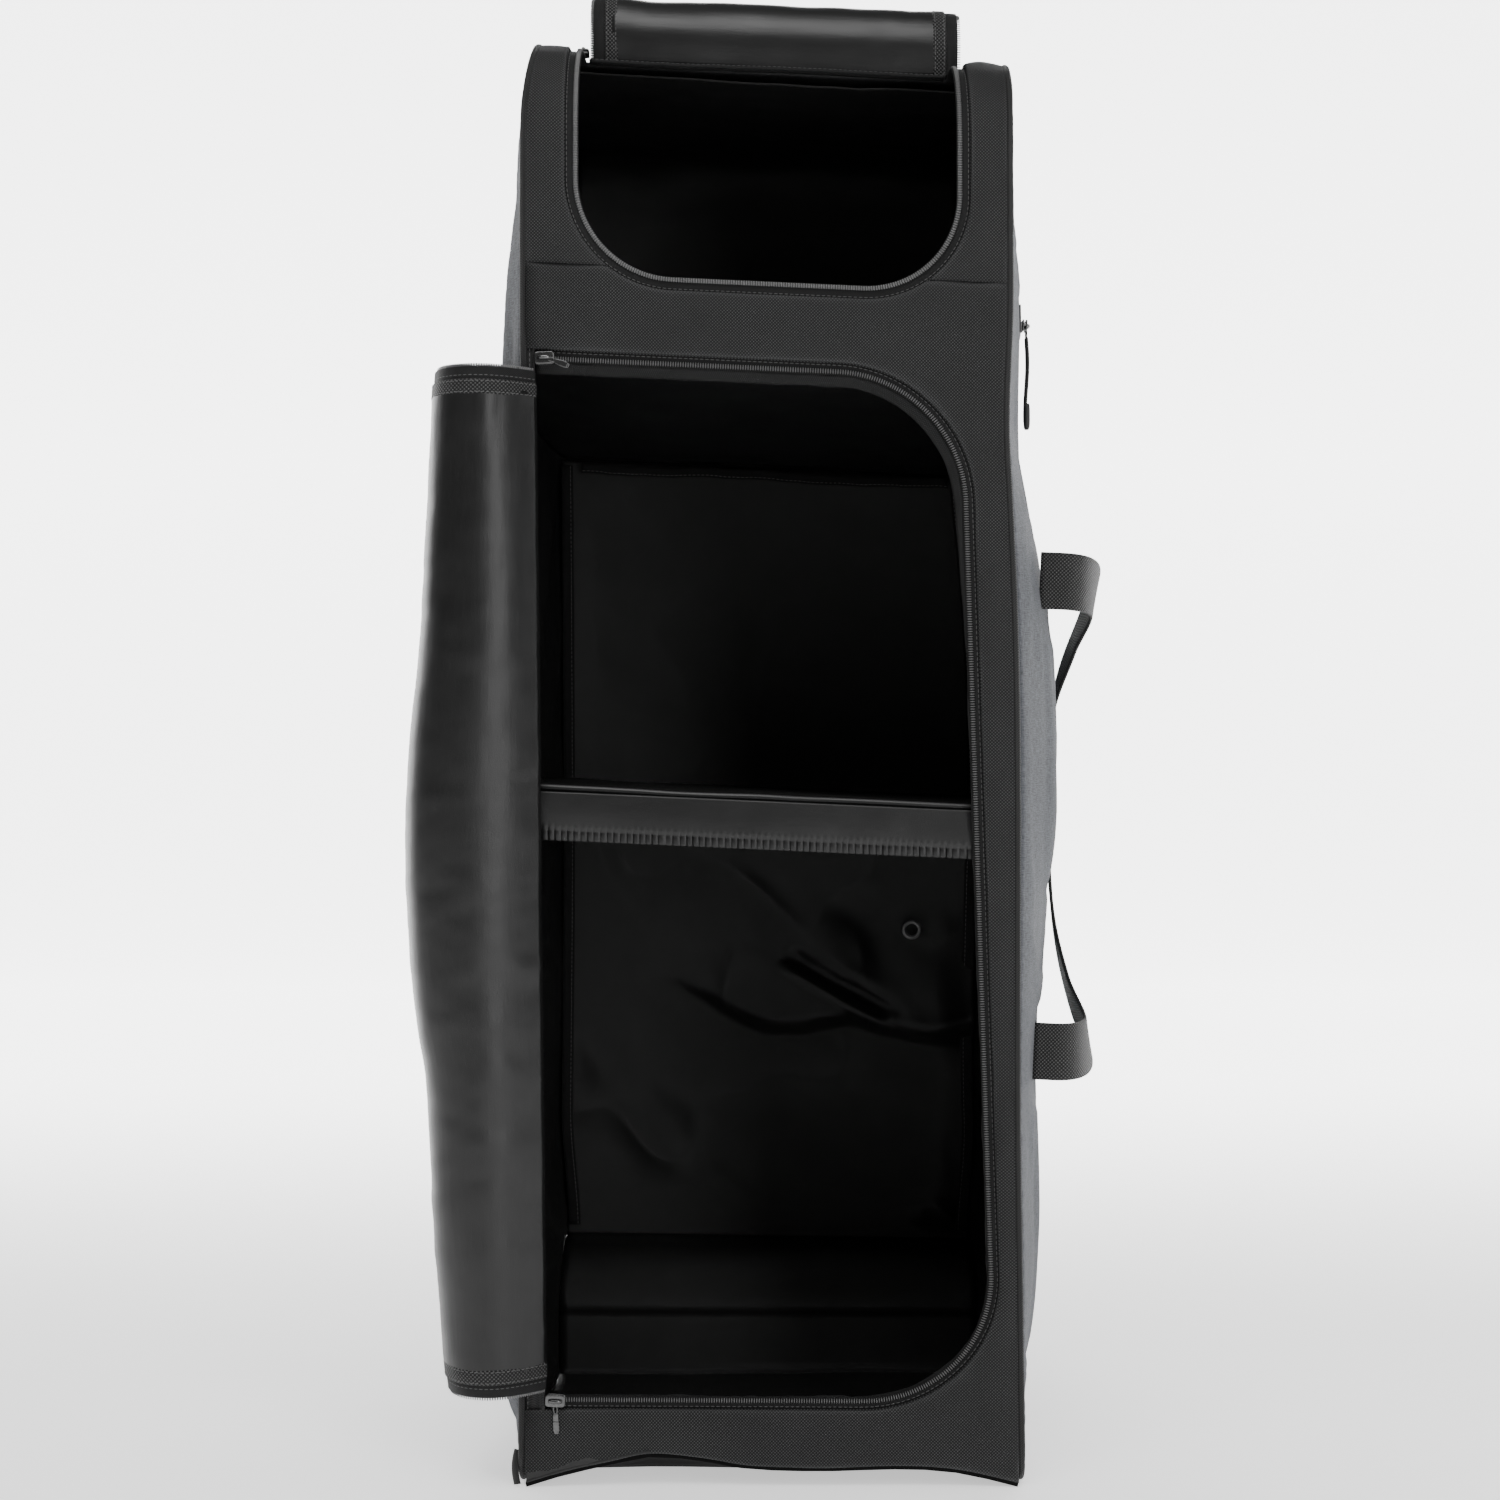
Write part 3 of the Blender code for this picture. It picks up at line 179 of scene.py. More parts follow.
def shellAt(x, s, lift=0.0):
    # The girth: straight up the front, over two quarter circles and down the back, lifted outward
    x, s, lift = np.broadcast_arrays(np.asarray(x, float), np.asarray(s, float), np.asarray(lift, float))
    frontTurn = np.clip((s - bag["arcStart"]) / bag["topFront"], 0, math.pi / 2)
    rearTurn = np.clip((s - bag["rearArc"]) / bag["topRear"], 0, math.pi / 2)
    alongTop = np.clip(s - bag["topStart"], 0, bag["rearArc"] - bag["topStart"])
    y = (bag["front"] + bag["topFront"] * (1 - np.cos(frontTurn)) + alongTop
         + bag["topRear"] * np.sin(rearTurn))
    z = (np.minimum(s, bag["arcStart"]) + bag["topFront"] * np.sin(frontTurn)
         - bag["topRear"] * (1 - np.cos(rearTurn)) - np.clip(s - bag["backStart"], 0, None))
    turn = frontTurn + rearTurn
    return settle(joined(x, y - lift * np.cos(turn), z + lift * np.sin(turn)))


slack = dict(rows=124, columns=46, waves=0.0020, folds=0.0014, most=0.0042, least=-0.0011, pucker=0.0006,
             puckerPitch=0.014, puckerFade=0.010, simulated=0.9, blur=27, nudge=0.0012, frames=20, tables={})
# Settings of the cloth that the sides' folds come from, named as the Cloth modifier names them
fabric = dict(quality=6, mass=0.25, air_damping=2.0, tension_stiffness=12, compression_stiffness=12,
              shear_stiffness=4, bending_stiffness=0.12, shrink_min=-0.006, use_pressure=True,
              uniform_pressure_force=0.6, vertex_group_mass="pins", pin_stiffness=1.0)
fabricGravity = 0.15
# What is sewn to each side, as lowest and highest y and z. The cloth lies flat there.
sewn = {1: [(-0.112, 0.112, 0.752, 0.778), (-0.128, -0.080, 0.566, 0.618), (-0.128, -0.080, 0.253, 0.305),
            (0.056, 0.066, 0.160, 0.640), (0.056, 0.160, 0.155, 0.165), (0.148, 0.158, 0.160, 0.640)], -1: []}


def calm(side, y, z, margin=0.018):
    # One in the open cloth, falling to nothing over a margin around every edge and sewn place
    front, rear = sideEdges(z, bag["seamInset"])
    edge = np.minimum(np.minimum(y - front, rear - y), np.minimum(z, bag["height"] - z) - 0.004)
    edge = np.minimum(edge, np.maximum(bag["housingFront"] - y, z - bag["housingTop"]))
    share = smooth(edge / (margin * 1.6))
    for y0, y1, z0, z1 in sewn[side]:
        away = np.maximum(np.maximum(y0 - y, y - y1), np.maximum(z0 - z, z - z1))
        share = share * smooth(away / margin)
    return share


def sideRelief(side, y, z):
    # Slow waves, long folds and puckers at the seams, with the simulated slack looked up between its points
    y, z = np.broadcast_arrays(np.asarray(y, float), np.asarray(z, float))
    lean = z * 7 + side * y * 4
    rough = (slack["waves"] * clouds(y * 8, z * 7, 31 + side)
             + slack["folds"] * creases(y * 7 + lean * 0.4, lean, 37))
    table = slack["tables"].get(side)
    if table is not None:
        a = np.clip(z / bag["height"], 0, 1) * (slack["rows"] - 1)
        b = np.clip((y - bag["front"]) / (bag["rear"] - bag["front"]), 0, 1) * (slack["columns"] - 1)
        i = np.minimum(a.astype(int), slack["rows"] - 2)
        j = np.minimum(b.astype(int), slack["columns"] - 2)
        a, b = smooth(a - i), smooth(b - j)
        low = table[i, j] * (1 - a) + table[i + 1, j] * a
        high = table[i, j + 1] * (1 - a) + table[i + 1, j + 1] * a
        rough = rough * 0.5 + low * (1 - b) + high * b
    front, rear = sideEdges(z, bag["seamInset"])
    edge = np.clip(np.minimum(y - front, rear - y), 0, None)
    pucker = slack["pucker"] * np.sin(z * tau / slack["puckerPitch"] + 2 * clouds(y * 20, z * 20, 41))
    pucker = pucker * np.exp(-edge / slack["puckerFade"])
    return (np.clip(rough, slack["least"], slack["most"]) * calm(side, y, z)
            + pucker * smooth(edge / 0.003) * calm(side, y, z, 0.004))


def sideAt(side, y, z, lift=0.0):
    # The side surface with its relief, lifted straight out
    x = sideX(side, y, z) + side * (lift + sideRelief(side, y, z))
    return settle(joined(x, y, z))


def gridNormals(grid):
    # Cross product of the two gradients of the grid
    return unit(np.cross(np.gradient(grid, axis=0), np.gradient(grid, axis=1)))


def spaced(path, pitch):
    # Points at even distances along a path
    run = runAlong(path)
    count = max(2, int(round(run[-1] / pitch)))
    at = (np.arange(count) + 0.5) * run[-1] / count
    return np.stack([np.interp(at, run, path[:, k]) for k in range(3)], axis=-1)


def through(knots, count):
    # A smooth path through knots, by distance
    knots = np.array(knots, float)
    run = runAlong(knots)
    at = np.linspace(0, run[-1], count)
    return np.stack([eased(run, knots[:, k], at) for k in range(knots.shape[1])], axis=-1)


def carried(path, way):
    # Width directions along a path, turned only as the path turns
    tangents = unit(np.gradient(path, axis=0))
    ways = []
    way = np.array(way, float)
    for tangent in tangents:
        way = unit(way - tangent * (way @ tangent))
        ways.append(way)
    return np.array(ways)


# Meshes

def makePiece(name, points, faces, uv=None, wear=None):
    # Points and faces straight into a mesh, with the cloth map in metres and a value per point for edge wear
    # and painted sheen
    mesh = bpy.data.meshes.new(name)
    mesh.from_pydata(np.asarray(points).reshape(-1, 3).tolist(), [], faces)
    if uv is not None:
        corners = np.empty(len(mesh.loops), np.int32)
        mesh.loops.foreach_get("vertex_index", corners)
        layer = mesh.uv_layers.new(name="cloth")
        layer.data.foreach_set("uv", np.asarray(uv, np.float32).reshape(-1, 2)[corners].ravel())
    if wear is not None:
        mesh.attributes.new("wear", "FLOAT", "POINT").data.foreach_set(
            "value", np.asarray(wear, np.float32).ravel())
    mesh.update()
    piece = bpy.data.objects.new(name, mesh)
    scene.collection.objects.link(piece)
    mesh.shade_smooth()
    return piece


def gridFaces(rows, columns, wrapColumns=False, start=0):
    # Quads between neighbouring rows and columns
    index = np.arange(rows * columns).reshape(rows, columns) + start
    right = np.roll(index, -1, axis=1) if wrapColumns else index[:, 1:]
    left = index if wrapColumns else index[:, :-1]
    return joined(left[:-1], right[:-1], right[1:], left[1:]).reshape(-1, 4)


def lengthMap(grid):
    # Distances along the middle row and column, as the cloth map of a grid
    down = np.linalg.norm(np.diff(grid, axis=0), axis=-1).mean(axis=1)
    over = np.linalg.norm(np.diff(grid, axis=1), axis=-1).mean(axis=0)
    down, over = np.concatenate([[0], np.cumsum(down)]), np.concatenate([[0], np.cumsum(over)])
    return np.stack(np.meshgrid(over, down), axis=-1)


def dress(piece, finish, slot, body="bag", replaced=()):
    # A piece's finish, the body that it rides, and the solids that it stands for. The slot is not used
    piece.data.materials.append(finishes[finish])
    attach(piece, body)
    if replaced:
        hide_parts(*replaced)
    return piece


def cloth(name, grid, finish, slot, thick=0.0012, offset=-1.0, uv=None, wear=None, facing=None, keep=None,
          **more):
    # An open grid given a wall. Its normals point the way of facing, and faces outside keep are left out
    uv = lengthMap(grid) if uv is None else uv
    wear = np.zeros(grid.shape[:2]) if wear is None else wear
    faces = gridFaces(*grid.shape[:2])
    if facing is not None and not toward(grid, facing):
        faces = faces[:, ::-1]
    points = grid.reshape(-1, 3)
    if keep is not None:
        faces = faces[keep.ravel()]
        used, faces = np.unique(faces, return_inverse=True)
        faces = faces.reshape(-1, 4)
        points, uv, wear = points[used], uv.reshape(-1, 2)[used], wear.ravel()[used]
    piece = makePiece(name, points, faces.tolist(), uv, wear)
    wall = piece.modifiers.new("wall", "SOLIDIFY")
    wall.thickness = thick
    wall.offset = offset
    return dress(piece, finish, slot, **more)


def toward(grid, facing):
    # Whether the grid's mean normal agrees with a direction
    return float((gridNormals(grid).mean(axis=(0, 1)) * np.array(facing)).sum()) > 0


def ringMesh(rings, closed=False):
    # Rings of points joined to quads, capped at both ends unless they close on themselves
    count, around = rings.shape[:2]
    looped = np.concatenate([rings, rings[:1]]) if closed else rings
    faces = gridFaces(count, around, wrapColumns=True).tolist()
    if closed:
        last = np.arange(around) + (count - 1) * around
        first = np.arange(around)
        faces += joined(last, np.roll(last, -1), np.roll(first, -1), first).tolist()
    else:
        faces += [list(range(around))[::-1], list(range((count - 1) * around, count * around))]
    middle = looped.mean(axis=1, keepdims=True)
    a, b = looped[:-1] - middle[:-1], np.roll(looped[:-1], -1, axis=1) - middle[:-1]
    if float((np.cross(a, b) * (middle[1:] - middle[:-1])).sum()) < 0:
        faces = [face[::-1] for face in faces]
    return rings.reshape(-1, 3), faces


def loft(name, rings, finish, slot, closed=False, uv=None, wear=None, **more):
    # One piece from rings of points along a path
    points, faces = ringMesh(rings, closed)
    if uv is None:
        middle = rings.mean(axis=1)
        down = runAlong(middle)
        over = np.linalg.norm(np.diff(rings, axis=1), axis=-1).mean(axis=0)
        over = np.concatenate([[0], np.cumsum(over)])
        uv = np.stack(np.meshgrid(over, down), axis=-1)
    piece = makePiece(name, points, faces, uv, np.zeros(rings.shape[:2]) if wear is None else wear)
    return dress(piece, finish, slot, **more)


def together(name, shapes, finish, slot, **more):
    # Several closed shapes in one piece
    points, faces, start = [], [], 0
    for shape, shapeFaces in shapes:
        points.append(shape)
        faces += [[k + start for k in face] for face in shapeFaces]
        start += len(shape)
    points = np.concatenate(points)
    return dress(makePiece(name, points, faces, np.zeros((len(points), 2)), np.zeros(len(points))),
                 finish, slot, **more)


def pebble(centre, size, axes, power=0.3, rows=12, columns=24):
    # A box with soft edges: a sphere whose sines and cosines are raised to a small power
    def signed(value):
        # A power that keeps the sign
        return np.sign(value) * np.abs(value)**power
    rise = np.linspace(-math.pi / 2 + 0.02, math.pi / 2 - 0.02, rows)[:, None]
    turn = (np.arange(columns) * tau / columns)[None]
    local = joined(signed(np.cos(rise)) * signed(np.cos(turn)),
                                         signed(np.cos(rise)) * signed(np.sin(turn)), signed(np.sin(rise)))
    return ringMesh(np.array(centre) + (local * np.array(size) / 2) @ np.array(axes, float))


def upFrom(path, ways):
    # The way off a path at each point: its tangent crossed with its width
    return unit(np.cross(unit(np.gradient(path, axis=0)), ways))


def ringsAlong(path, way, radius, sides, flat=1.0):
    # Offsets to a round or flattened section: radius times cosine across and sine up
    ways = carried(path, way)
    turn = np.arange(sides) * tau / sides
    return radius * (ways[:, None] * np.cos(turn)[None, :, None] * flat
                     + upFrom(path, ways)[:, None] * np.sin(turn)[None, :, None])


def wire(path, radius, closed=False, sides=8, flat=1.0, way=(0, 0, 1)):
    # A closed shape: the section's rings along the path
    return ringMesh(path[:, None] + ringsAlong(path, way, radius, sides, flat), closed)


def band(name, edgeAt, profile, finish, slot, **more):
    # A closed profile of (outset, lift) points carried along an edge
    rings = np.stack([edgeAt(outset, lift) for outset, lift in profile], axis=1)
    return loft(name, rings, finish, slot, **more)


def flatProfile(low, high, base, top, round=0.0006):
    # A flat strip's section with rounded edges, as (outset, lift) points
    return [(low + round, base), (high - round, base), (high, base + round), (high, top - round),
            (high - round, top), ((low + high) / 2, top + 0.0001), (low + round, top),
            (low, top - round), (low, base + round)]


def copies(name, centres, along, up, size, finish, slot, sides=6, rings=3, power=0.75, **more):
    # One small bead, a squashed sphere on a grid, set at every centre in its own three directions
    ring = (np.arange(rings) + 1) * math.pi / (rings + 1)
    turn = np.arange(sides) * tau / sides
    x = np.repeat(np.cos(ring), sides)
    wide = np.repeat(np.sin(ring)**power, sides)
    bead = np.concatenate([
        [[1, 0, 0]], joined(x, wide * np.tile(np.cos(turn), rings), wide * np.tile(np.sin(turn), rings)),
        [[-1, 0, 0]]]) * np.array(size) / 2
    faces = [[0, 1 + k, 1 + (k + 1) % sides] for k in range(sides)]
    faces += [[a, d, c, b] for a, b, c, d in gridFaces(rings, sides, True, 1).tolist()]
    last = 1 + rings * sides
    faces += [[last, last - sides + (k + 1) % sides, last - sides + k] for k in range(sides)]
    across = unit(np.cross(up, along))
    up = unit(np.cross(along, across))
    points = (centres[:, None] + bead[None, :, :1] * along[:, None] + bead[None, :, 1:2] * across[:, None]
              + bead[None, :, 2:] * up[:, None])
    count, each = len(centres), len(bead)
    tris = np.array([f for f in faces if len(f) == 3])
    quads = np.array([f for f in faces if len(f) == 4])
    shift = (np.arange(count) * each)[:, None, None]
    faces = (tris[None] + shift).reshape(-1, 3).tolist() + (quads[None] + shift).reshape(-1, 4).tolist()
    piece = makePiece(name, points, faces, np.zeros((count * each, 2)), np.zeros(count * each))
    return dress(piece, finish, slot, **more)


stitch = dict(pitch=0.0034, long=0.0026, thick=0.00062, high=0.0005)
zips = dict(tooth=-0.0030, toothLift=-0.0004, tape=-0.0016, pitch=0.0016, toothShare=0.50, toothHigh=0.0018)


def beadLine(edgeAt, outset, lift, pitch):
    # Even places along an edge line, the way along it, and the way off its surface
    path, over = spaced(edgeAt(outset, lift), pitch), spaced(edgeAt(outset, lift + 0.001), pitch)
    count = min(len(path), len(over))
    path, over = path[:count], over[:count]
    return path, unit(np.gradient(path, axis=0)), unit(over - path)


def stitches(name, edgeAt, outset, lift, slot):
    # Stitches end to end along an edge line, lying on its surface
    path, along, up = beadLine(edgeAt, outset, lift, stitch["pitch"])
    return copies(name, path, along, up, (stitch["long"], stitch["thick"], stitch["high"]), "thread", slot)


def teeth(name, edgeAt, outset, lift, wide=0.0034, **more):
    # Coil teeth: beads across an edge line, one for each pitch
    path, along, up = beadLine(edgeAt, outset, lift, zips["pitch"])
    size = (wide, zips["pitch"] * zips["toothShare"], zips["toothHigh"])
    return copies(name, path, unit(np.cross(up, along)), up, size, "zipTeeth", "zip", **more)


# Finishes

class Wire:
    # An output socket that can be used in sums, on either side of the sign
    def __init__(self, book, socket):
        self.book, self.socket = book, socket

    def maths(self, operation, *values):
        # Any maths node, over this wire or the values given
        return self.book.node("Math", {"operation": operation}, dict(enumerate(values or (self,))))

    def __add__(self, other):
        return self.maths("ADD", self, other)

    def __mul__(self, other):
        return self.maths("MULTIPLY", self, other)

    def __sub__(self, other):
        return self.maths("SUBTRACT", self, other)

    def __rsub__(self, other):
        return self.maths("SUBTRACT", other, self)

    def __truediv__(self, other):
        return self.maths("DIVIDE", self, other)

    def __pow__(self, other):
        return self.maths("POWER", self, other)

    __radd__, __rmul__ = __add__, __mul__

    def sine(self):
        # Sine of an angle in radians
        return self.maths("SINE")

    def size(self):
        # The value without its sign
        return self.maths("ABSOLUTE")

    def part(self):
        # What is left over the whole number below
        return self.maths("FRACT")


class Book:
    # A material and its nodes
    def __init__(self, name, **fixed):
        self.material = bpy.data.materials.new(name)
        self.material.use_nodes = True
        self.tree = self.material.node_tree
        self.shader = self.tree.nodes["Principled BSDF"]
        for socket, value in fixed.items():
            self.shader.inputs[socket.replace("_", " ")].default_value = value
        finishes[name] = self.material

    def node(self, kind, settings=None, values=None, output=0):
        # Any other node: its settings, and values or wires for its inputs
        made = self.tree.nodes.new("ShaderNode" + kind)
        for name, value in (settings or {}).items():
            setattr(made, name, value)
        for key, value in (values or {}).items():
            if isinstance(value, Wire):
                self.tree.links.new(value.socket, made.inputs[key])
            else:
                made.inputs[key].default_value = value
        return Wire(self, made.outputs[output])

    def where(self, mapped=True):
        # Metres over the cloth, or in the bag's own space
        if mapped:
            return self.node("UVMap", {"uv_map": "cloth"})
        return self.node("TexCoord", None, None, "Object")

    def split(self, vector):
        # X, y and z of a vector
        return [self.node("SeparateXYZ", None, {0: vector}, k) for k in range(3)]

    def scaled(self, vector, by):
        # A vector times another, part by part
        return self.node("VectorMath", {"operation": "MULTIPLY"}, {0: vector, 1: by})

    def noise(self, vector, scale, detail=2.0, rough=0.5):
        # Fractal noise over a vector
        return self.node("TexNoise", None, {"Vector": vector, "Scale": scale, "Detail": detail,
                                            "Roughness": rough})

    def mix(self, share, low, high):
        # Two colours blended by a share
        low = low if isinstance(low, Wire) else (*low, 1.0)
        high = high if isinstance(high, Wire) else (*high, 1.0)
        return self.node("Mix", {"data_type": "RGBA"}, {0: share, 6: low, 7: high}, 2)

    def wornAndShone(self):
        # The value of the points for edge wear and, on the slack rear lining, painted sheen
        return self.node("Attribute", {"attribute_name": "wear"}, None, 2)

    def link(self, made, name):
        # A wire into one of the shader's inputs
        self.tree.links.new(made.socket, self.shader.inputs[name])

    def feed(self, colour, rough, height, deep):
        # Colour, roughness and a bump whose height is worked out in nodes
        bump = self.node("Bump", None, {"Strength": 1.0, "Distance": deep, "Height": height})
        for made, name in ((colour, "Base Color"), (rough, "Roughness"), (bump, "Normal")):
            self.link(made, name)


finishes = {}


def grey(value, blue=0.0):
    # A grey with a share more of blue, and half of that more of green
    return (value, value * (1 + blue / 2), value * (1 + blue))


def makeWeave(name, dark, light, pitch, rough, blue=0.03, deep=0.0003):
    # Dobby weave: dots on a slanting lattice, the product of two sines, over cloudy colour
    book = Book(name, Sheen_Weight=0.02, Sheen_Roughness=0.5, Specular_IOR_Level=0.22)
    where = book.where()
    u, v, _ = book.split(where)
    dots = (u * (tau / pitch)).sine() * (v * (tau / pitch)).sine() * 0.5 + 0.5
    broad = book.noise(where, 14.0, 3.0)
    fine = book.noise(where, 900.0, 1.0)
    shade = dots**3.0 * (broad * 0.9 + 0.5) * (fine * 0.8 + 0.6)
    colour = book.mix(shade + book.wornAndShone() * 0.30, grey(dark, blue), grey(light, blue))
    book.feed(colour, broad * 0.12 + (rough - 0.06), dots + fine * 0.3, deep)


def makeHeather(name, low, high, rough):
    # Melange cloth: stretched fibre noise both ways over a fine plain weave
    book = Book(name, Sheen_Weight=0.08, Sheen_Roughness=0.6, Specular_IOR_Level=0.25)
    where = book.where()
    u, v, _ = book.split(where)
    across = book.noise(book.scaled(where, (160.0, 1500.0, 1.0)), 1.0, 2.0)
    down = book.noise(book.scaled(where, (1500.0, 160.0, 1.0)), 1.0, 2.0)
    broad = book.noise(where, 9.0, 3.0)
    weave = (u * (tau / 0.0011)).sine() * (v * (tau / 0.0011)).sine()
    shade = (across + down - 0.75) * 1.9 + (broad - 0.5) * 0.5 + weave * 0.16
    colour = book.mix(shade, low, high)
    book.feed(colour, broad * 0.1 + (rough - 0.05), weave * 0.5 + across * 0.6 + down * 0.6, 0.00022)


def makeSatin(name, dark, light, rough):
    # Coated cloth: smooth, with a faint grain and a slow change of gloss
    book = Book(name, Sheen_Weight=0.01, Sheen_Roughness=0.4, Specular_IOR_Level=0.42)
    where = book.where()
    broad = book.noise(where, 7.0, 4.0)
    grain = book.noise(where, 1100.0, 2.0)
    streak = book.noise(book.scaled(where, (30.0, 260.0, 1.0)), 1.0, 3.0)
    colour = book.mix(broad * 0.6 + grain * 0.25 + book.wornAndShone() * 0.4, grey(dark), grey(light))
    gloss = broad * 0.10 + streak * 0.08 + (rough - 0.09)
    book.feed(colour, gloss, grain * 0.6 + streak * 0.7, 0.00012)


def makeLining(name, dark, light, rough):
    # Thin nylon: a tight plain weave. Its colour is lightened by the wear-and-sheen value, a painted sheen on
    # the slack rear lining's creases
    book = Book(name, Sheen_Weight=0.01, Specular_IOR_Level=0.45)
    where = book.where()
    u, v, _ = book.split(where)
    weave = (u * (tau / 0.0009)).sine() * (v * (tau / 0.0009)).sine()
    broad = book.noise(where, 12.0, 4.0)
    colour = book.mix(broad + weave * 0.15 + book.wornAndShone() * 0.4, grey(dark), grey(light))
    book.feed(colour, broad * 0.16 + (rough - 0.08), weave * 0.5 + broad * 3.0, 0.00018)


def makeWebbing(name, dark, light, pitch, rough):
    # Woven tape: ribs that lean one way and then the other, in chevrons
    book = Book(name, Sheen_Weight=0.02, Sheen_Roughness=0.5, Specular_IOR_Level=0.25)
    where = book.where()
    u, v, _ = book.split(where)
    lean = ((u / (pitch * 3)).part() - 0.5).size() * (pitch * 3)
    ribs = ((v + lean) * (tau / pitch)).sine() * 0.5 + 0.5
    ends = (u * (tau / (pitch * 1.5))).sine() * 0.5 + 0.5
    broad = book.noise(where, 30.0, 3.0)
    shade = ribs * 0.7 + ends * 0.3
    colour = book.mix(shade * (broad * 0.7 + 0.6) + book.wornAndShone() * 0.3, grey(dark), grey(light))
    book.feed(colour, broad * 0.15 + (rough - 0.07), shade, 0.00035)


def makeHard(name, dark, light, rough, grain, deep, metallic=0.0, **fixed):
    # Moulded or metal: a fine grain, scuffs from stretched noise, in the bag's own space
    book = Book(name, Metallic=metallic, **fixed)
    where = book.where(False)
    fine = book.noise(where, grain, 3.0)
    scuff = book.noise(book.scaled(where, (40.0, 300.0, 90.0)), 1.0, 4.0, 0.6)
    colour = book.mix(fine * 0.5 + scuff * 0.5, dark, light)
    book.feed(colour, scuff * 0.2 + (rough - 0.1), fine, deep)


def makeFinishes():
    # One finish for each cloth, tape, thread, metal and moulding
    makeWeave("frontWeave", 0.0010, 0.070, pitch=0.0021, rough=0.62)
    makeWeave("tapeWeave", 0.0016, 0.026, pitch=0.0013, rough=0.60)
    makeWeave("dotWebbing", 0.0012, 0.105, pitch=0.0025, rough=0.55, blue=0.0, deep=0.0005)
    makeHeather("sideHeather", (0.028, 0.030, 0.035), (0.100, 0.106, 0.120), rough=0.80)
    makeSatin("flapSatin", 0.0030, 0.0085, rough=0.36)
    makeSatin("lipSatin", 0.0030, 0.0085, rough=0.42)
    makeLining("liningNylon", 0.0034, 0.0120, rough=0.36)
    makeWebbing("blackWebbing", 0.0012, 0.0280, pitch=0.0016, rough=0.55)
    makeHard("zipTeeth", grey(0.045), grey(0.160), rough=0.30, grain=900.0, deep=0.00003)
    makeHard("thread", grey(0.035), grey(0.120), rough=0.60, grain=2500.0, deep=0.00005)
    makeHard("sliderMetal", grey(0.025), grey(0.20), rough=0.26, grain=500.0, deep=0.00003, metallic=1.0)
    makeHard("mouldedBlack", grey(0.004), grey(0.012), rough=0.50, grain=1400.0, deep=0.00010)
    makeHard("bottomBoard", grey(0.002), grey(0.008), rough=0.85, grain=1400.0, deep=0.00010,
             Specular_IOR_Level=0.1)
    makeHard("tyreRubber", grey(0.006), grey(0.018), rough=0.80, grain=900.0, deep=0.00012)
    makeHard("axleSteel", grey(0.40), grey(0.62), rough=0.30, grain=400.0, deep=0.00002, metallic=1.0)


makeFinishes()
print("finishes made:", len(finishes))

# Edges of the openings and flaps. Each is a function of an outset from the edge and a lift off the cloth.

opening = dict(top=0.718, bottom=0.052, rightTop=0.131, rightBottom=0.147, radius=0.085,
               hingeTop=-0.148, hingeBottom=-0.141)
upper = dict(bottom=0.766, halfWidth=0.126, centre=0.001, radius=0.065)
upper["hinge"] = bag["topStart"] + 0.085 - bag["topFront"]


def hingeX(z):
    # The main flap's hinge leans: its x blended from foot to top by height
    share = (np.asarray(z) - opening["bottom"]) / (opening["top"] - opening["bottom"])
    return opening["hingeBottom"] + (opening["hingeTop"] - opening["hingeBottom"]) * np.clip(share, 0, 1)


def openingPath(outset, runs=(50, 26, 90, 26, 50)):
    # Along the top, round a quarter circle, down the right, round another and back along the bottom
    r, o = opening["radius"] + outset, opening
    first = np.array([o["rightTop"] - o["radius"], o["top"] - o["radius"]])
    second = np.array([o["rightBottom"] - o["radius"], o["bottom"] + o["radius"]])
    a, b = quarter(runs[1]), quarter(runs[3], math.pi / 2)
    arcOne = first + r * joined(np.sin(a), np.cos(a))
    arcTwo = second + r * joined(np.sin(b), np.cos(b))
    def run(start, end, count):
        # Even points from start to end
        return start + (end - start) * np.linspace(0, 1, count)[:, None]
    return np.concatenate([
        run(np.array([o["hingeTop"], o["top"] + outset]), arcOne[0], runs[0])[:-1], arcOne[:-1],
        run(arcOne[-1], arcTwo[0], runs[2])[:-1], arcTwo[:-1],
        run(arcTwo[-1], np.array([o["hingeBottom"], o["bottom"] - outset]), runs[4])])


def upperPath(outset, count=50):
    # Down the left from the hinge, round the bottom and up the right, as x and distance over the girth
    r = upper["radius"] + outset
    half = upper["halfWidth"] - upper["radius"]
    a = quarter(24)
    left = joined(-half - r * np.cos(a), upper["bottom"] + upper["radius"] - r * np.sin(a))
    right = left[::-1] * np.array([-1, 1])
    run = np.linspace(upper["hinge"], upper["bottom"] + upper["radius"], count)[:-1]
    side = joined(np.full(count - 1, -half - r), run)
    base = np.linspace(-half, half, 30)[1:-1]
    path = np.concatenate([side, left, joined(base, np.full(28, upper["bottom"] - outset)), right,
                           side[::-1] * np.array([-1, 1])])
    return path + np.array([upper["centre"], 0])


def edgeOn(path):
    # An edge function from a path function, laid on the girth
    return lambda outset, lift: shellAt(*path(outset).T, lift)


mainEdge, upperEdge = edgeOn(openingPath), edgeOn(upperPath)


# The shell: front, top, sides and back

shell = dict(hem=0.0030, upperHem=0.0045, thick=0.0014, puff=0.0012, wave=0.0009, wornAndShone=0.0012)


def cornered(centre, reach, turn):
    # A square corner swept by angle: tangent and cotangent, each held to one
    return (centre[0] + reach[0] * np.minimum(np.tan(np.clip(turn, 0, 1.57)), 1),
            centre[1] + reach[1] * np.minimum(1 / np.maximum(np.tan(np.clip(turn, 0, 1.57)), 1e-9), 1))


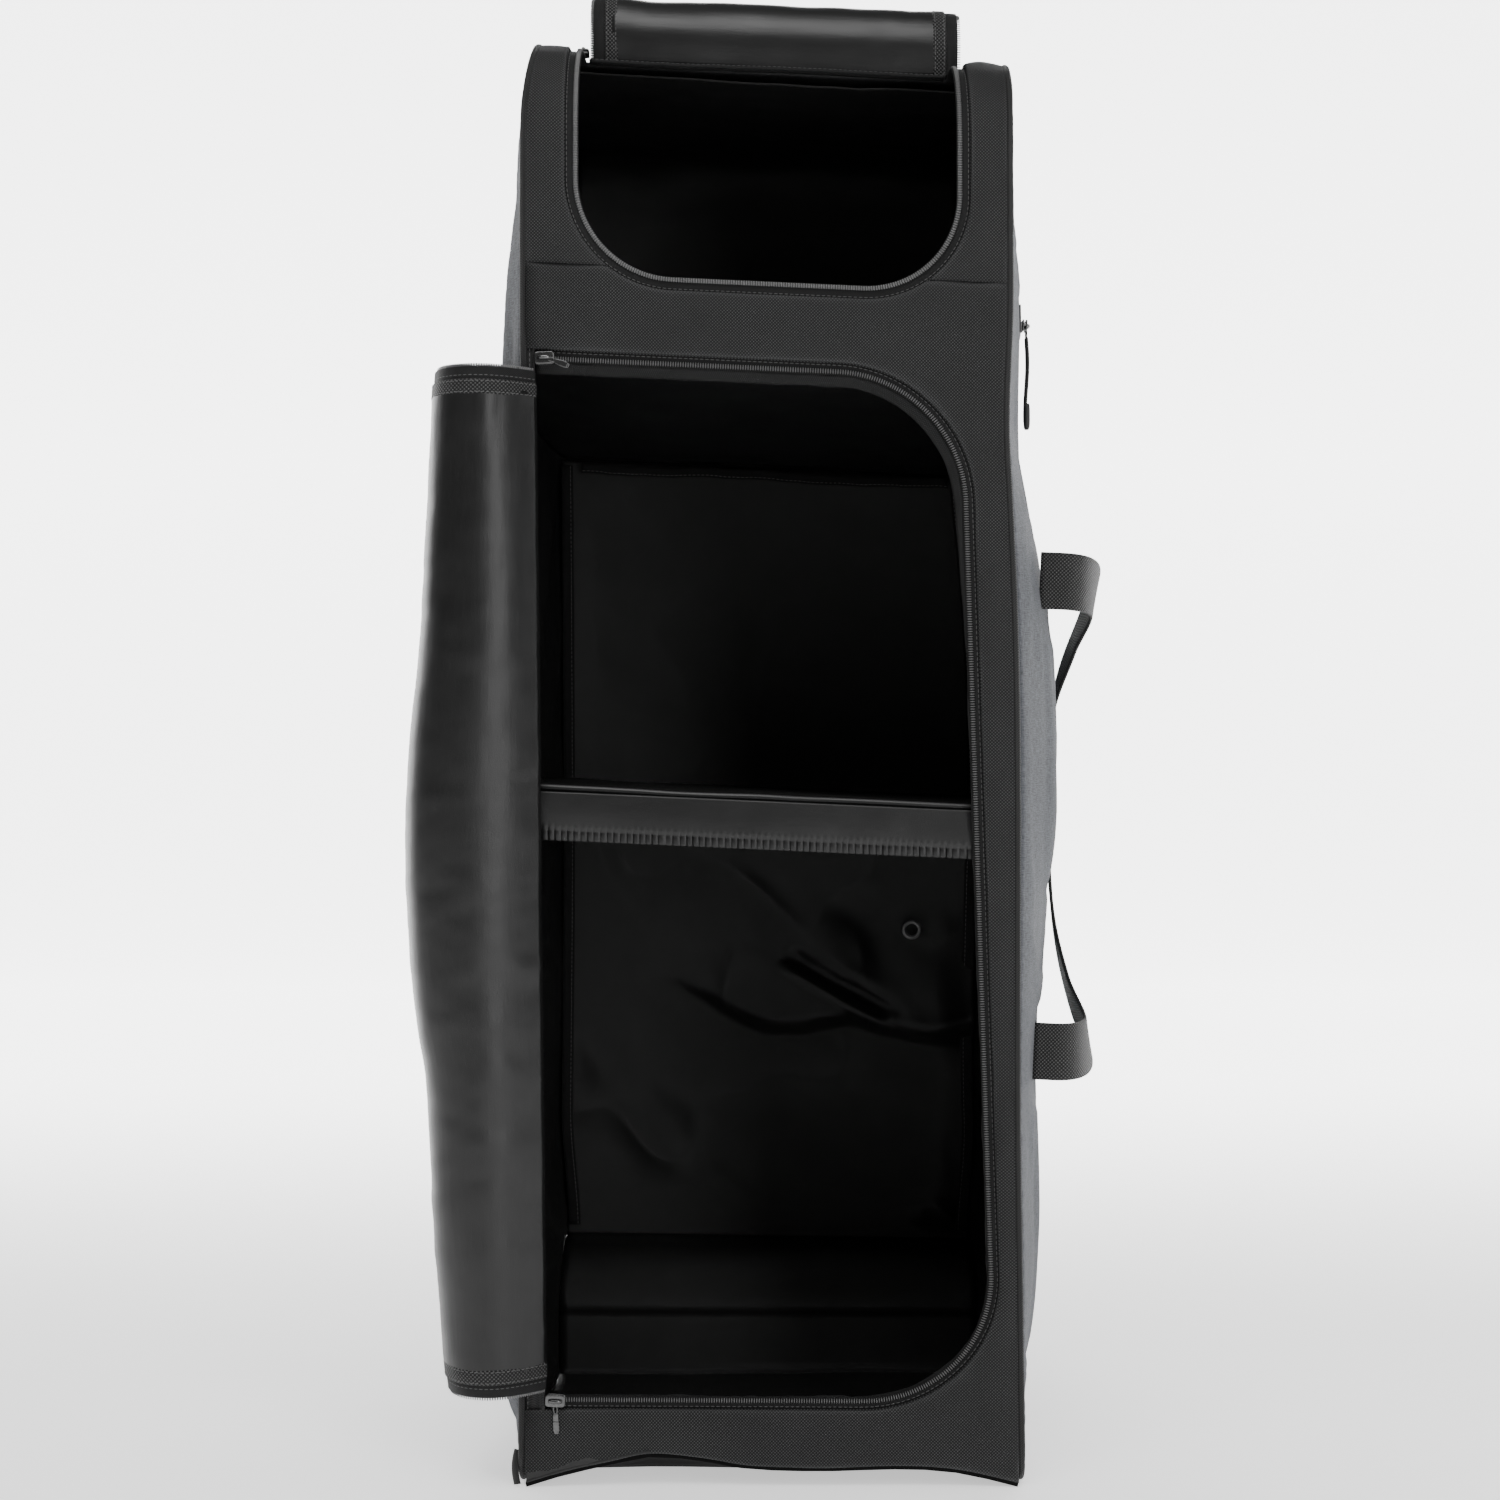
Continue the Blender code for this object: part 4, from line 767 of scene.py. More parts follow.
def upperSeamZ(x, hem):
    # The front panel's upper edge: the level seam, dipping under the upper opening
    past = np.clip(np.abs(x - upper["centre"]) - (upper["halfWidth"] - upper["radius"]), 0, None)
    reach = upper["radius"] + hem
    dip = upper["bottom"] + upper["radius"] - np.sqrt(np.clip(reach**2 - past**2, 0, None))
    return np.minimum(bag["upperSeam"] - 0.0004, dip)


def clothRelief(x, s, share, seed):
    # A soft crown between seams, slow waves, and small gathers that fade from the outer seam
    crown = shell["puff"] * np.sin(math.pi * np.clip(share, 0, 1))**0.7
    wave = shell["wave"] * clouds(x * 22, s * 22, seed) * np.sin(math.pi * np.clip(share, 0, 1))**0.5
    return crown + wave


def makePanel(name, inner, outer, rows, reach, seed, facing, node):
    # Cloth between two outlines over the girth: rows blended from one to the other, worn along both seams
    share = np.linspace(0, 1, rows)[:, None]
    flat = inner[None] * (1 - share[..., None]) + outer[None] * share[..., None]
    x, s = flat[..., 0], flat[..., 1]
    lift = clothRelief(x, s, np.broadcast_to(share, x.shape), seed)
    wear = np.broadcast_to(np.exp(-np.minimum(share, 1 - share) * reach / shell["wornAndShone"]), x.shape)
    cloth(name, shellAt(x, s, lift), "frontWeave", "front_weave", shell["thick"], uv=flat, wear=wear,
          facing=facing, replaced=(node,))


def makeFront():
    # From the opening's edge out to the seams, with both right corners swept square
    runs = (50, 27, 90, 27, 50)
    inner = openingPath(shell["hem"], runs)
    outer = inner.copy()
    o, seam, foot = opening, bag["upperSeam"], bag["wall"] + bag["gap"]
    right = lambda z: seamX(1, z) - bag["seamInset"]
    turn = quarter(runs[1])[:-1]
    first = slice(runs[0] - 1, sum(runs[:2]) - 2)
    last = slice(sum(runs[:3]) - 3, sum(runs[:4]) - 4)
    centre = (o["rightTop"] - o["radius"], o["top"] - o["radius"])
    x, z = cornered(centre, (right(seam) - centre[0], seam - centre[1]), turn)
    outer[first] = joined(x, z)
    centre = (o["rightBottom"] - o["radius"], o["bottom"] + o["radius"])
    x, z = cornered(centre, (right(0.02) - centre[0], centre[1] - foot), math.pi / 2 - turn)
    outer[last] = joined(x, 2 * centre[1] - z)
    outer[:first.start, 1] = seam
    outer[last.stop:, 1] = foot
    onTop, onFoot = outer[:, 1] > seam - 1e-4, outer[:, 1] < foot + 1e-5
    upright = ~(onTop | onFoot)
    outer[upright, 0] = right(outer[upright, 1])
    outer[first.stop:last.start, 0] = right(outer[first.stop:last.start, 1])
    outer[onTop, 1] = upperSeamZ(outer[onTop, 0], shell["upperHem"])
    outer[onFoot, 1] = archZ(outer[onFoot, 0]) + foot
    # The left ends run on to the left seam
    for end in (0, -1):
        inner[end, 0] = outer[end, 0] = seamX(-1, inner[end, 1]) + bag["seamInset"]
    makePanel("front_cloth", inner, outer, 22, 0.05, 11, (0, -1, 0), "front_panel")


def makeSurround():
    # From the upper opening out to both side seams and back to the rear one, with square corners
    half, level, count = 60, upper["hinge"] + 0.004, 70
    rise = np.linspace(bag["upperSeam"], level, count)
    reach = upper["radius"] + shell["upperHem"]
    bend = np.clip(upper["bottom"] + upper["radius"] - rise, 0, None)
    wide = upper["halfWidth"] - upper["radius"] + np.sqrt(np.clip(reach**2 - bend**2, 0, None))
    turn = quarter(17)[1:-1]
    rear = bag["rearSeam"] - bag["gap"]
    def seam(side, s):
        # Side seam's x at a distance over the girth
        return seamX(side, shellAt(0, s)[..., 2]) - side * bag["seamInset"]
    up = level + (rear - level) * np.minimum(np.tan(turn), 1)
    inward = np.clip(1 - 1 / np.tan(turn), 0, 1)
    inners, outers, corners = [], [], []
    for side in (-1, 1):
        edge = joined(upper["centre"] + side * wide, rise)
        inners.append(edge)
        outers.append(joined(seam(side, rise), rise))
        corners.append(joined(seam(side, up) + (edge[-1, 0] - seam(side, up)) * inward, up))
    top = np.linspace(inners[0][-1, 0], inners[1][-1, 0], half)
    held = [np.repeat(edge[-1:], len(turn), axis=0) for edge in inners]
    inner = np.concatenate([inners[0], held[0], joined(top, level), held[1], inners[1][::-1]])
    outer = np.concatenate([outers[0], corners[0], joined(top, rear), corners[1][::-1], outers[1][::-1]])
    makePanel("surround_cloth", inner, outer, 18, 0.04, 17, (0, -0.7, 0.7), "top_surround")


backCloth = dict(rows=120, columns=41, wave=0.0018, grain=0.0006, calmShare=0.08, calmEnd=0.02)


def makeBack():
    # Heather cloth between both seams down the back, flat at its edges
    end = bag["backEnd"]
    s = np.linspace(bag["rearSeam"], end, backCloth["rows"])[:, None]
    z = shellAt(0, s[:, 0])[:, 2]
    low, high = seamX(-1, z) + bag["seamInset"], seamX(1, z) - bag["seamInset"]
    across = np.linspace(0, 1, backCloth["columns"])[None]
    x = spread(low, high, across[0])
    fromSeam = np.minimum(across, 1 - across)
    edge = np.minimum(fromSeam / backCloth["calmShare"], 1) * np.minimum((end - s) / backCloth["calmEnd"], 1)
    lift = backCloth["wave"] * clouds(x * 14, s * 9, 23) + backCloth["grain"] * clouds(x * 50, s * 30, 29)
    lift = lift * smooth(edge)
    wear = np.exp(-fromSeam * 0.3 / 0.002) + 0 * s
    cloth("back_cloth", shellAt(x, s, lift), "sideHeather", "side_heather", shell["thick"],
          uv=joined(x, s), wear=wear, facing=(0, 1, 0), replaced=("back_panel",))


def sideGrid(inset, low, high, clear, rows=(34, 160), columns=60, split=54):
    # Rows from a side's foot to its top, drawn in where they stop at the wheel housing
    top, radius = bag["housingTop"] + clear, bag["housingRadius"] + clear
    z = np.concatenate([np.linspace(low, top, rows[0])[:-1],
                        top + (high - top) * np.sin(quarter(rows[1]))**1.15])
    front, rear = sideEdges(z, inset)
    y = spread(front, rear, np.linspace(0, 1, columns))
    up = np.clip(z[:rows[0]] - bag["housingTop"] + bag["housingRadius"], 0, radius)
    end = bag["housingFront"] + bag["housingRadius"] - np.sqrt(np.clip(radius**2 - up**2, 0, None))
    y[:rows[0], :split] = spread(front[:rows[0]], end, np.linspace(0, 1, split))
    y[:rows[0], split:] = end[:, None]
    y[rows[0] - 1, split - 1:] = np.linspace(end[-1], rear[rows[0] - 1], columns - split + 1)
    keep = np.ones((len(z) - 1, columns - 1), bool)
    keep[:rows[0] - 1, split - 1:] = False
    return y, np.broadcast_to(z[:, None], y.shape), keep


def loosen(side):
    # A slightly large sheet, held at its edges and where things are sewn to it, falls into its own folds
    y = np.linspace(bag["front"], bag["rear"], slack["columns"])[None]
    z = np.linspace(0, bag["height"], slack["rows"])[:, None]
    flat = joined(sideX(side, y, z), y, z)
    held = calm(side, y + 0 * z, z + 0 * y, 0.012)
    start = flat.copy()
    start[..., 0] += side * slack["nudge"] * clouds(y * 16, z * 14, 161 + side) * held
    faces = gridFaces(slack["rows"], slack["columns"])
    faces = faces if toward(start, (side, 0, 0)) else faces[:, ::-1]
    sheet = makePiece("loose_sheet", start, faces.tolist())
    pins = sheet.vertex_groups.new(name=fabric["vertex_group_mass"])
    tight = np.round(1 - held, 1).ravel()
    for weight in np.unique(tight):
        pins.add(np.flatnonzero(tight == weight).tolist(), float(weight)**2, "REPLACE")
    kind = sheet.modifiers.new("fabric", "CLOTH").settings
    for name, value in fabric.items():
        setattr(kind, name, value)
    kind.effector_weights.gravity = fabricGravity
    for number in range(1, slack["frames"] + 1):
        scene.frame_set(number)
    moved = sheet.evaluated_get(bpy.context.evaluated_depsgraph_get()).to_mesh()
    place = np.empty(len(moved.vertices) * 3, np.float32)
    moved.vertices.foreach_get("co", place)
    lift = side * (place.reshape(flat.shape)[..., 0] - flat[..., 0])
    bpy.data.objects.remove(sheet)
    scene.frame_set(1)
    # The broad bulge is taken off by a blur along both ways, and the folds left are held to the most allowed
    kernel = np.hanning(slack["blur"]) / np.hanning(slack["blur"]).sum()
    broad = np.pad(lift, slack["blur"] // 2, "edge")
    for axis in (0, 1):
        broad = np.apply_along_axis(np.convolve, axis, broad, kernel, "valid")
    folds = (lift - broad) * slack["simulated"]
    slack["tables"][side] = slack["most"] * np.tanh(folds / slack["most"])
    print("loosened side", side, "lift", float(lift.min()), float(lift.max()))


def makeSides():
    # Each side from its seams to the wheel housing
    for side, label in sides:
        low, high = bag["piping"] + bag["seamInset"], bag["height"] - bag["seamInset"]
        y, z, keep = sideGrid(bag["seamInset"], low, high, 0.0007)
        front, rear = sideEdges(z, bag["seamInset"])
        edge = np.minimum(np.minimum(y - front, rear - y), np.minimum(z - low, high - z))
        cloth("side_cloth_" + label, sideAt(side, y, z), "sideHeather", "side_heather", shell["thick"],
              uv=joined(y, z), wear=np.exp(-edge / 0.002), facing=(side, 0, 0), keep=keep,
              replaced=("side_panel_" + label,))


loosen(-1)
loosen(1)

footShade = dict(right=-0.074, top=0.0192, welt=0.0009)


def makeFootShadeAndWelt():
    # Front weave at the foot in the darker lining finish, a painted shade between the weave's level edge and
    # the arch, with a welt along the arch
    left = float(seamX(-1, 0.01)) + 0.003
    x = np.linspace(left, footShade["right"], 60)[None]
    share = np.linspace(0, 1, 10)[:, None]
    low = archZ(x) + bag["wall"] + bag["gap"]
    z = low + (np.maximum(footShade["top"], low + 0.0006) - low) * share
    lift = clothRelief(x, z, 0.0, 11) + 0.0012 + 0.0003 * clouds(x * 60, z * 60, 27)
    cloth("foot_shade_cloth", shellAt(x, z, lift), "liningNylon", "front_weave", 0.0008,
          uv=joined(x, z), facing=(0, -1, 0))
    line = lambda outset, rise: shellAt(x[0], low[0] + 0.0012 + outset, 0.0014 + rise)
    together("foot_welt", [wire(line(0, 0), footShade["welt"], way=(0, 0, 1))], "blackWebbing", "webbing")
    # The seam's loose end, folded out at the left corner
    drop = np.linspace(0, 1, 24)
    corner = seamX(-1, 0.0)
    path = joined(corner - 0.0030 - 0.0016 * np.sin(math.pi * drop), bag["front"] + 0.004 - 0.003 * drop,
                     0.0225 - 0.0210 * drop)
    rings = wire(path, 0.0011, flat=3.0, way=(0.75, -0.65, 0))
    together("seam_end", [rings], "dotWebbing", "webbing")


makeFront()
makeSurround()
makeBack()
makeSides()
makeFootShadeAndWelt()
print("shell made")


# Piping, and the zips round both openings

piping = dict(radius=0.0023, points=10)


def pipingPath(side):
    # Along the foot, round its corner, and over the girth to the housing
    turn = quarter(12)
    r = bag["bottomFront"]
    y = bag["front"] + r - r * np.sin(turn)
    z = piping["radius"] + r * (1 - np.cos(turn))
    s = np.linspace(piping["radius"] + r, bag["backEnd"] - 0.020, 420)[1:]
    girth = shellAt(0, s)
    y = np.concatenate([np.linspace(bag["housingFront"] - 0.0003, bag["front"] + r, 20)[:-1], y, girth[:, 1]])
    z = np.concatenate([np.full(19, piping["radius"]), z, girth[:, 2]])
    return settle(joined(seamX(side, z), y, z))


def makePiping():
    # A cord of webbing along each outline, a little uneven
    for side, label in sides:
        path = pipingPath(side)
        ring = ringsAlong(path, (side, 0, 0), piping["radius"], piping["points"])
        wobble = 1 + 0.05 * clouds(np.arange(len(path)) * 0.35, 0.5, 51 + side)[:, None, None]
        loft("piping_cord_" + label, path[:, None] + ring * wobble, "blackWebbing", "webbing",
             replaced=("piping_" + label,))


def makeZips():
    # Round each opening: a tape, its teeth, the hem folded over it, and a row of stitches on both
    for name, edge, fold, node in (("main", mainEdge, shell["hem"], "main_zip"),
                                   ("upper", upperEdge, shell["upperHem"], "top_zip")):
        profile = flatProfile(-0.0050, fold + 0.004, zips["tape"] - 0.0010, zips["tape"], 0.0004)
        band(name + "_zip_tape", edge, profile, "tapeWeave", "zip")
        teeth(name + "_zip_teeth", edge, zips["tooth"], zips["toothLift"], replaced=(node,))
        band(name + "_hem", edge, flatProfile(fold - 0.0008, fold + 0.0014, -0.0014, 0.0007, 0.0008),
             "frontWeave", "front_weave")
        stitches(name + "_hem_stitches", edge, fold + 0.0036, 0.0005, "front_weave")
        stitches(name + "_tape_stitches", edge, fold - 0.0018, zips["tape"] + 0.0001, "zip")


def makeInnerBinding():
    # The seam's binding, seen below the top of the opening and thinning out down the right
    near, far = mainEdge(-0.0046, -0.0030), mainEdge(-0.0120, -0.0060)
    run = np.linspace(0, 1, len(near))
    width = (1 - smooth((run - 0.26) / 0.14)) * 0.9 + 0.1
    width = width + 0.05 * clouds(run * 60, 0.5, 61)
    inner = near + (far - near) * width[:, None]
    grid = np.stack([near + (inner - near) * t for t in np.linspace(0, 1, 5)], axis=1)
    grid[..., 1] += 0.0006 * clouds(run[:, None] * 90, np.linspace(0, 2, 5)[None], 63)
    cloth("opening_binding", grid, "tapeWeave", "zip", 0.0008, facing=(0, -1, 0))


hinge = dict(bead=0.0018)


def makeHingeStrip():
    # Flat webbing from the left seam to the hinge, rolled over a cord where the flap begins
    z = np.linspace(opening["bottom"] - 0.004, opening["top"] + 0.004, 180)
    low, high = seamX(-1, z) + bag["seamInset"], hingeX(z)
    bulge = hinge["bead"] * np.array([0, 0, 0, 0.3, 1.0, 1.2, 0.8, -0.6, -1.2, -1.0, -1.0])
    across = np.array([0, 0.3, 0.6, 0.74, 0.84, 0.92, 1.0, 1.0, 0.9, 0.5, 0])
    x = spread(low, high, across)
    lift = bulge[None] + 0.0002 * clouds(z[:, None] * 120, across[None] * 3, 65)
    rings = shellAt(x, z[:, None], lift)
    loft("hinge_tape", rings, "blackWebbing", "webbing", replaced=("hinge_strip",))
    line = lambda outset, lift: shellAt(seamX(-1, z) + bag["seamInset"] + outset, z, lift)
    stitches("hinge_stitches", line, 0.0018, 0.0002, "webbing")


makePiping()
makeZips()
makeInnerBinding()
makeHingeStrip()
print("piping and zips made")


# The main flap: its lining faces out where it curls round to the left

trim = dict(overlap=0.004, tooth=0.0017, tapeStart=0.0022, tapeEnd=0.002, stitch=0.0015, proud=0.0014,
           layer=0.0012, ripple=0.0004, rippleRate=0.22)
flapSteps = 400


def layFlap(prefix, flap, at, u, v, relief, wear, uv, facing, node):
    # A flap's two layers, each lifted off the middle by half of its thickness
    layers = []
    for part, finish, slot, way, more in (("_lining", "flapSatin", "satin", 1, dict(replaced=(node,))),
                                          ("_cloth", "frontWeave", "front_weave", -1, {})):
        layers.append(cloth(prefix + part, at(u, v, way * flap["half"] + relief), finish, slot, trim["layer"],
                            uv=uv, wear=wear, facing=[way * k for k in facing], **more))
    return layers


def trimFlap(prefix, flap, edge, seed, rows, node):
    # Zip tape, binding, teeth and rows of stitches along the free edges, which ripple a little
    half, tape, border = flap["half"], flap["tape"], flap["border"]
    ribbon = trim["ripple"] * clouds(np.arange(len(edge(0.01, 0))) * trim["rippleRate"], 0.5, seed)
    ripple = lambda margin, lift: edge(margin, lift + ribbon)
    profile = flatProfile(trim["tapeStart"], tape + trim["tapeEnd"], -half - 0.0002, half + 0.0002, 0.0005)
    strip = band(prefix + "_zip_tape", ripple, profile, "tapeWeave", "zip")
    profile = flatProfile(tape, border, -half - trim["layer"], half + trim["proud"], 0.0008)
    band(prefix + "_binding", ripple, profile, "dotWebbing", "webbing", replaced=(node,))
    teeth(prefix + "_zip_teeth", ripple, trim["tooth"], 0.0)
    for name, margin, lift in rows:
        stitches(prefix + "_stitches_" + name, ripple, margin, lift, "webbing")
    return strip


def declareFlap(wide, high, reach):
    # The area of a sheet cut as a rectangle with two rounded corners, worked out and not used
    area = wide * high - (2 - math.pi / 2) * reach**2


mainFlap = dict(cut=0.285, top=0.715, bottom=0.061, radius=0.080, half=0.0015,
                along=[0, 0.15, 0.28, 0.38, 0.55, 1], heading=[-40, -12, 40, 88, 97, 102],
                height=[0, 0.06, 0.18, 0.31, 0.36, 0.50, 0.63, 0.72, 0.82, 1],
                reach=[0.73, 0.77, 0.83, 0.87, 0.93, 1, 0.97, 0.90, 0.85, 0.75],
                tape=0.0100, border=0.0200)


def mainFlapAt(u, z, lift=0.0):
    # The heading turns along the cut width; its running sums of cosine and sine give left and back
    u, z, lift = np.broadcast_arrays(u, z, lift)
    share = np.linspace(0, 1, flapSteps + 1)
    heading = np.radians(eased(mainFlap["along"], mainFlap["heading"], share))
    step = mainFlap["cut"] / flapSteps
    out = np.concatenate([[0], np.cumsum(np.cos(heading[1:]))]) * step
    back = np.concatenate([[0], np.cumsum(np.sin(heading[1:]))]) * step
    at = u / mainFlap["cut"]
    turn = np.interp(at, share, heading)
    reach = eased(mainFlap["height"], mainFlap["reach"],
                  (z - mainFlap["bottom"]) / (mainFlap["top"] - mainFlap["bottom"]))
    x = hingeX(z) - bag["gap"] - np.interp(at, share, out) * reach - lift * np.sin(turn)
    y = bag["front"] - mainFlap["half"] - bag["gap"] + np.interp(at, share, back) - lift * np.cos(turn)
    return joined(x, y, z)


def flapLimits(u, margin):
    # Lowest and highest point of the cut at a distance from the hinge: straight, then quarter circles
    reach = mainFlap["radius"] - margin
    past = np.clip(u - (mainFlap["cut"] - mainFlap["radius"]), 0, reach)
    cut = margin + reach - np.sqrt(reach**2 - past**2)
    return mainFlap["bottom"] + cut, mainFlap["top"] - cut


def mainFlapEdge(margin, lift):
    # Out along the foot, round the corner, up, round and back along the top
    r = mainFlap["radius"] - margin
    wide = mainFlap["cut"] - mainFlap["radius"]
    low, high = mainFlap["bottom"] + mainFlap["radius"], mainFlap["top"] - mainFlap["radius"]
    a = quarter(26)
    arc = joined(wide + r * np.sin(a), low - r * np.cos(a))
    run = np.linspace(0, wide, 70)[:-1]
    up = np.linspace(low, high, 90)[1:-1]
    top = (arc * [1, -1] + [0, low + high])[::-1]
    path = np.concatenate([joined(run, low - r), arc, joined(wide + r, up), top,
                           joined(run, high + r)[::-1]])
    return mainFlapAt(path[:, 0], path[:, 1], lift)


def makeMainFlap():
    # Rows up the flap with slow waves, and puckers that fade from its edges
    flap, half = mainFlap, mainFlap["half"]
    margin = flap["border"] - trim["overlap"]
    reach = flap["radius"] - margin
    turn = quarter(15)[1:]
    wide = flap["cut"] - flap["radius"]
    u = np.concatenate([np.linspace(0.0, wide, 64), wide + reach * np.sin(turn)])
    low, high = flapLimits(u, margin)
    share = np.linspace(0, 1, 160)
    z = spread(low, high, share)
    u = np.broadcast_to(u[:, None], z.shape)
    fromEdge = np.minimum(z - low[:, None], high[:, None] - z)
    wave = 0.0010 * clouds(u * 16, z * 5, 71) + 0.0004 * clouds(u * 26, z * 60, 73)
    pucker = 0.0006 * clouds(u * 90, z * 20, 75) * np.exp(-fromEdge / 0.018)
    relief = (wave + pucker) * smooth(fromEdge / 0.02) + pucker * 0.4
    wear = np.exp(-fromEdge / 0.004) * 0.6
    layers = layFlap("flap", flap, mainFlapAt, u, z, relief, wear, uv=joined(z, u), facing=(-0.7, -0.7, 0),
                     node="main_flap")
    tape, border = flap["tape"], flap["border"]
    above, below = half + trim["proud"], -half - trim["layer"] - 0.0001
    strip = trimFlap("flap", flap, mainFlapEdge, 77,
                     [("outer", tape + trim["stitch"], above), ("inner", border - trim["stitch"], above),
                      ("tape", tape - 0.0022, half + 0.0002), ("back", border - trim["stitch"], below)],
                     "main_flap_border")
    declareFlap(float(u.max()), float(np.ptp(z)), reach)


topFlap = dict(halfWidth=0.125, centre=0.007, run=0.165, rise=0.047, radius=0.065, half=0.0015,
               along=[0, 0.12, 0.24, 0.38, 0.52, 0.66, 0.80, 1],
               back=[0, -0.02, 0.03, 0.18, 0.38, 0.56, 0.75, 1],
               up=[0, 0.48, 0.88, 1, 0.78, 0.36, 0.14, 0.12], tape=0.0100, border=0.0190)
topFlap["length"] = topFlap["run"] + topFlap["rise"]


def topFlapAt(x, v, lift=0.0):
    # A rolled section, the same at every x, lifted along its own normal
    x, v, lift = np.broadcast_arrays(x, v, lift)
    share = np.linspace(0, 1, flapSteps + 1)
    back = topFlap["run"] * eased(topFlap["along"], topFlap["back"], share)
    rise = 0.0006 + topFlap["rise"] * eased(topFlap["along"], topFlap["up"], share)
    way = unit(joined(np.gradient(back), np.gradient(rise)))
    at = v / topFlap["length"]
    y = bag["front"] + 0.085 + np.interp(at, share, back) - lift * np.interp(at, share, way[:, 1])
    z = bag["height"] + np.interp(at, share, rise) + lift * np.interp(at, share, way[:, 0])
    return settle(joined(x, y, z))


def topFlapEdge(margin, lift):
    # Back along the right, round the corner, over, round and forward along the left
    flap = topFlap
    r = flap["radius"] - margin
    half, far = flap["halfWidth"] - flap["radius"], flap["length"] - flap["radius"]
    a = quarter(24)
    arc = joined(half + r * np.cos(a), far + r * np.sin(a))
    run = np.linspace(0, far, 60)[:-1]
    side = joined(np.full(59, half + r), run)
    over = np.linspace(half, -half, 40)[1:-1]
    path = np.concatenate([side, arc, joined(over, np.full(38, far + r)),
                           (arc * [-1, 1])[::-1], (side * [-1, 1])[::-1]])
    return topFlapAt(path[:, 0] + flap["centre"], path[:, 1], lift)


def makeTopFlap():
    # Rows back along the roll, waved in the middle and puckered at the edges
    flap, half = topFlap, topFlap["half"]
    margin = flap["border"] - trim["overlap"]
    reach = flap["radius"] - margin
    far = flap["length"] - flap["radius"]
    v = np.concatenate([np.linspace(0, far, 50), far + reach * np.sin(quarter(13)[1:])])
    past = np.clip(v - far, 0, reach)
    wide = flap["halfWidth"] - margin - reach + np.sqrt(reach**2 - past**2)
    share = np.linspace(-1, 1, 70)[None]
    x = flap["centre"] + wide[:, None] * share
    v = np.broadcast_to(v[:, None], x.shape)
    fromEdge = wide[:, None] * (1 - np.abs(share))
    relief = 0.0012 * clouds(x * 13, v * 16, 81) * smooth(fromEdge / 0.03)
    relief = relief + 0.0005 * clouds(x * 80, v * 30, 83) * np.exp(-fromEdge / 0.02)
    wear = np.exp(-fromEdge / 0.004) * 0.6
    layers = layFlap("top_flap", flap, topFlapAt, x, v, relief, wear, uv=joined(x, v), facing=(0, -0.7, 0.7),
                     node="top_flap")
    declareFlap(float(np.ptp(x)), float(v.max()), reach)
    trimFlap("top_flap", flap, topFlapEdge, 87,
             [("outer", flap["tape"] + trim["stitch"], half + trim["proud"]),
              ("inner", flap["border"] - trim["stitch"], half + trim["proud"])], "top_flap_border")


def makeHingeBinding():
    # Bound seam behind the upper opening, waved by the weight of the flap
    x = np.linspace(-0.118, 0.120, 120)
    wave = 0.0022 * np.sin(x * 34 + 0.6) + 0.0008 * clouds(x * 60, 0.5, 91)
    s = upper["hinge"]
    profile = [(-0.013, -0.0030), (-0.012, -0.0012), (-0.006, -0.0004), (0.002, 0.0004), (0.003, -0.001),
               (-0.004, -0.0026)]
    rings = np.stack([shellAt(x, s + back + wave * 0.5, lift + wave * 0.3) for back, lift in profile], axis=1)
    loft("hinge_bound_seam", rings, "tapeWeave", "webbing", replaced=("hinge_binding",))
    line = lambda outset, lift: shellAt(x, s + outset + wave * 0.5, lift + wave * 0.3)
    stitches("hinge_bound_stitches", line, -0.0105, -0.0006, "webbing")
    stitches("hinge_bound_stitches_two", line, -0.0015, 0.0004, "webbing")


makeMainFlap()
makeTopFlap()
makeHingeBinding()
print("flaps made")


# Inside: linings, the sloping floor of the upper compartment, and the shelf

inside = dict(floorFront=0.752, floorRear=0.690, shelf=0.438, shelfThick=0.005, shelfBack=0.012, lip=0.031,
              liningBack=0.012, clear=0.0013)


def between(y, z, count, thick=0.0025, extra=0.0):
    # Rows from side to side, drawn in by the wall and a clearance
    y, z = np.broadcast_arrays(np.asarray(y, float), np.asarray(z, float))
    ends = []
    for side in (-1, 1):
        around = [sideX(side, y + a, z + b) for a in (-thick, thick) for b in (-thick, thick)]
        ends.append(side * (np.abs(around).min(axis=0) - bag["wall"] - inside["clear"] - extra))
    x = spread(*ends, np.linspace(0, 1, count))
    return x, np.broadcast_to(y[:, None], x.shape), np.broadcast_to(z[:, None], x.shape)


def lining(name, grid, thick, **more):
    # Thin nylon in the lining's finish and slot
    cloth(name, grid, "liningNylon", "lining", thick, **more)


def insetBy(x, along):
    # Distance from the nearest of a grid's four edges
    return np.minimum(np.minimum(x - x[:, :1], x[:, -1:] - x),
                      np.minimum(along - along[0, 0], along[-1, 0] - along))


def makeCeiling(rear):
    # Ceiling of the main compartment, which is the floor of the upper one
    y = np.linspace(bag["front"] + 0.0037, rear - 0.0006, 48)
    slope = (inside["floorRear"] - inside["floorFront"]) / (y[-1] - y[0])
    x, y, z = between(y, inside["floorFront"] + slope * (y - y[0]), 49)
    edge = insetBy(x, y)
    sag = -0.0050 * smooth(edge / 0.09) + 0.0016 * clouds(x * 12, y * 12, 101) * smooth(edge / 0.02)
    lining("ceiling", settle(joined(x, y, z + sag)), 0.0020, uv=joined(x, y), facing=(0, 0, 1),
           replaced=("compartment_floor",))


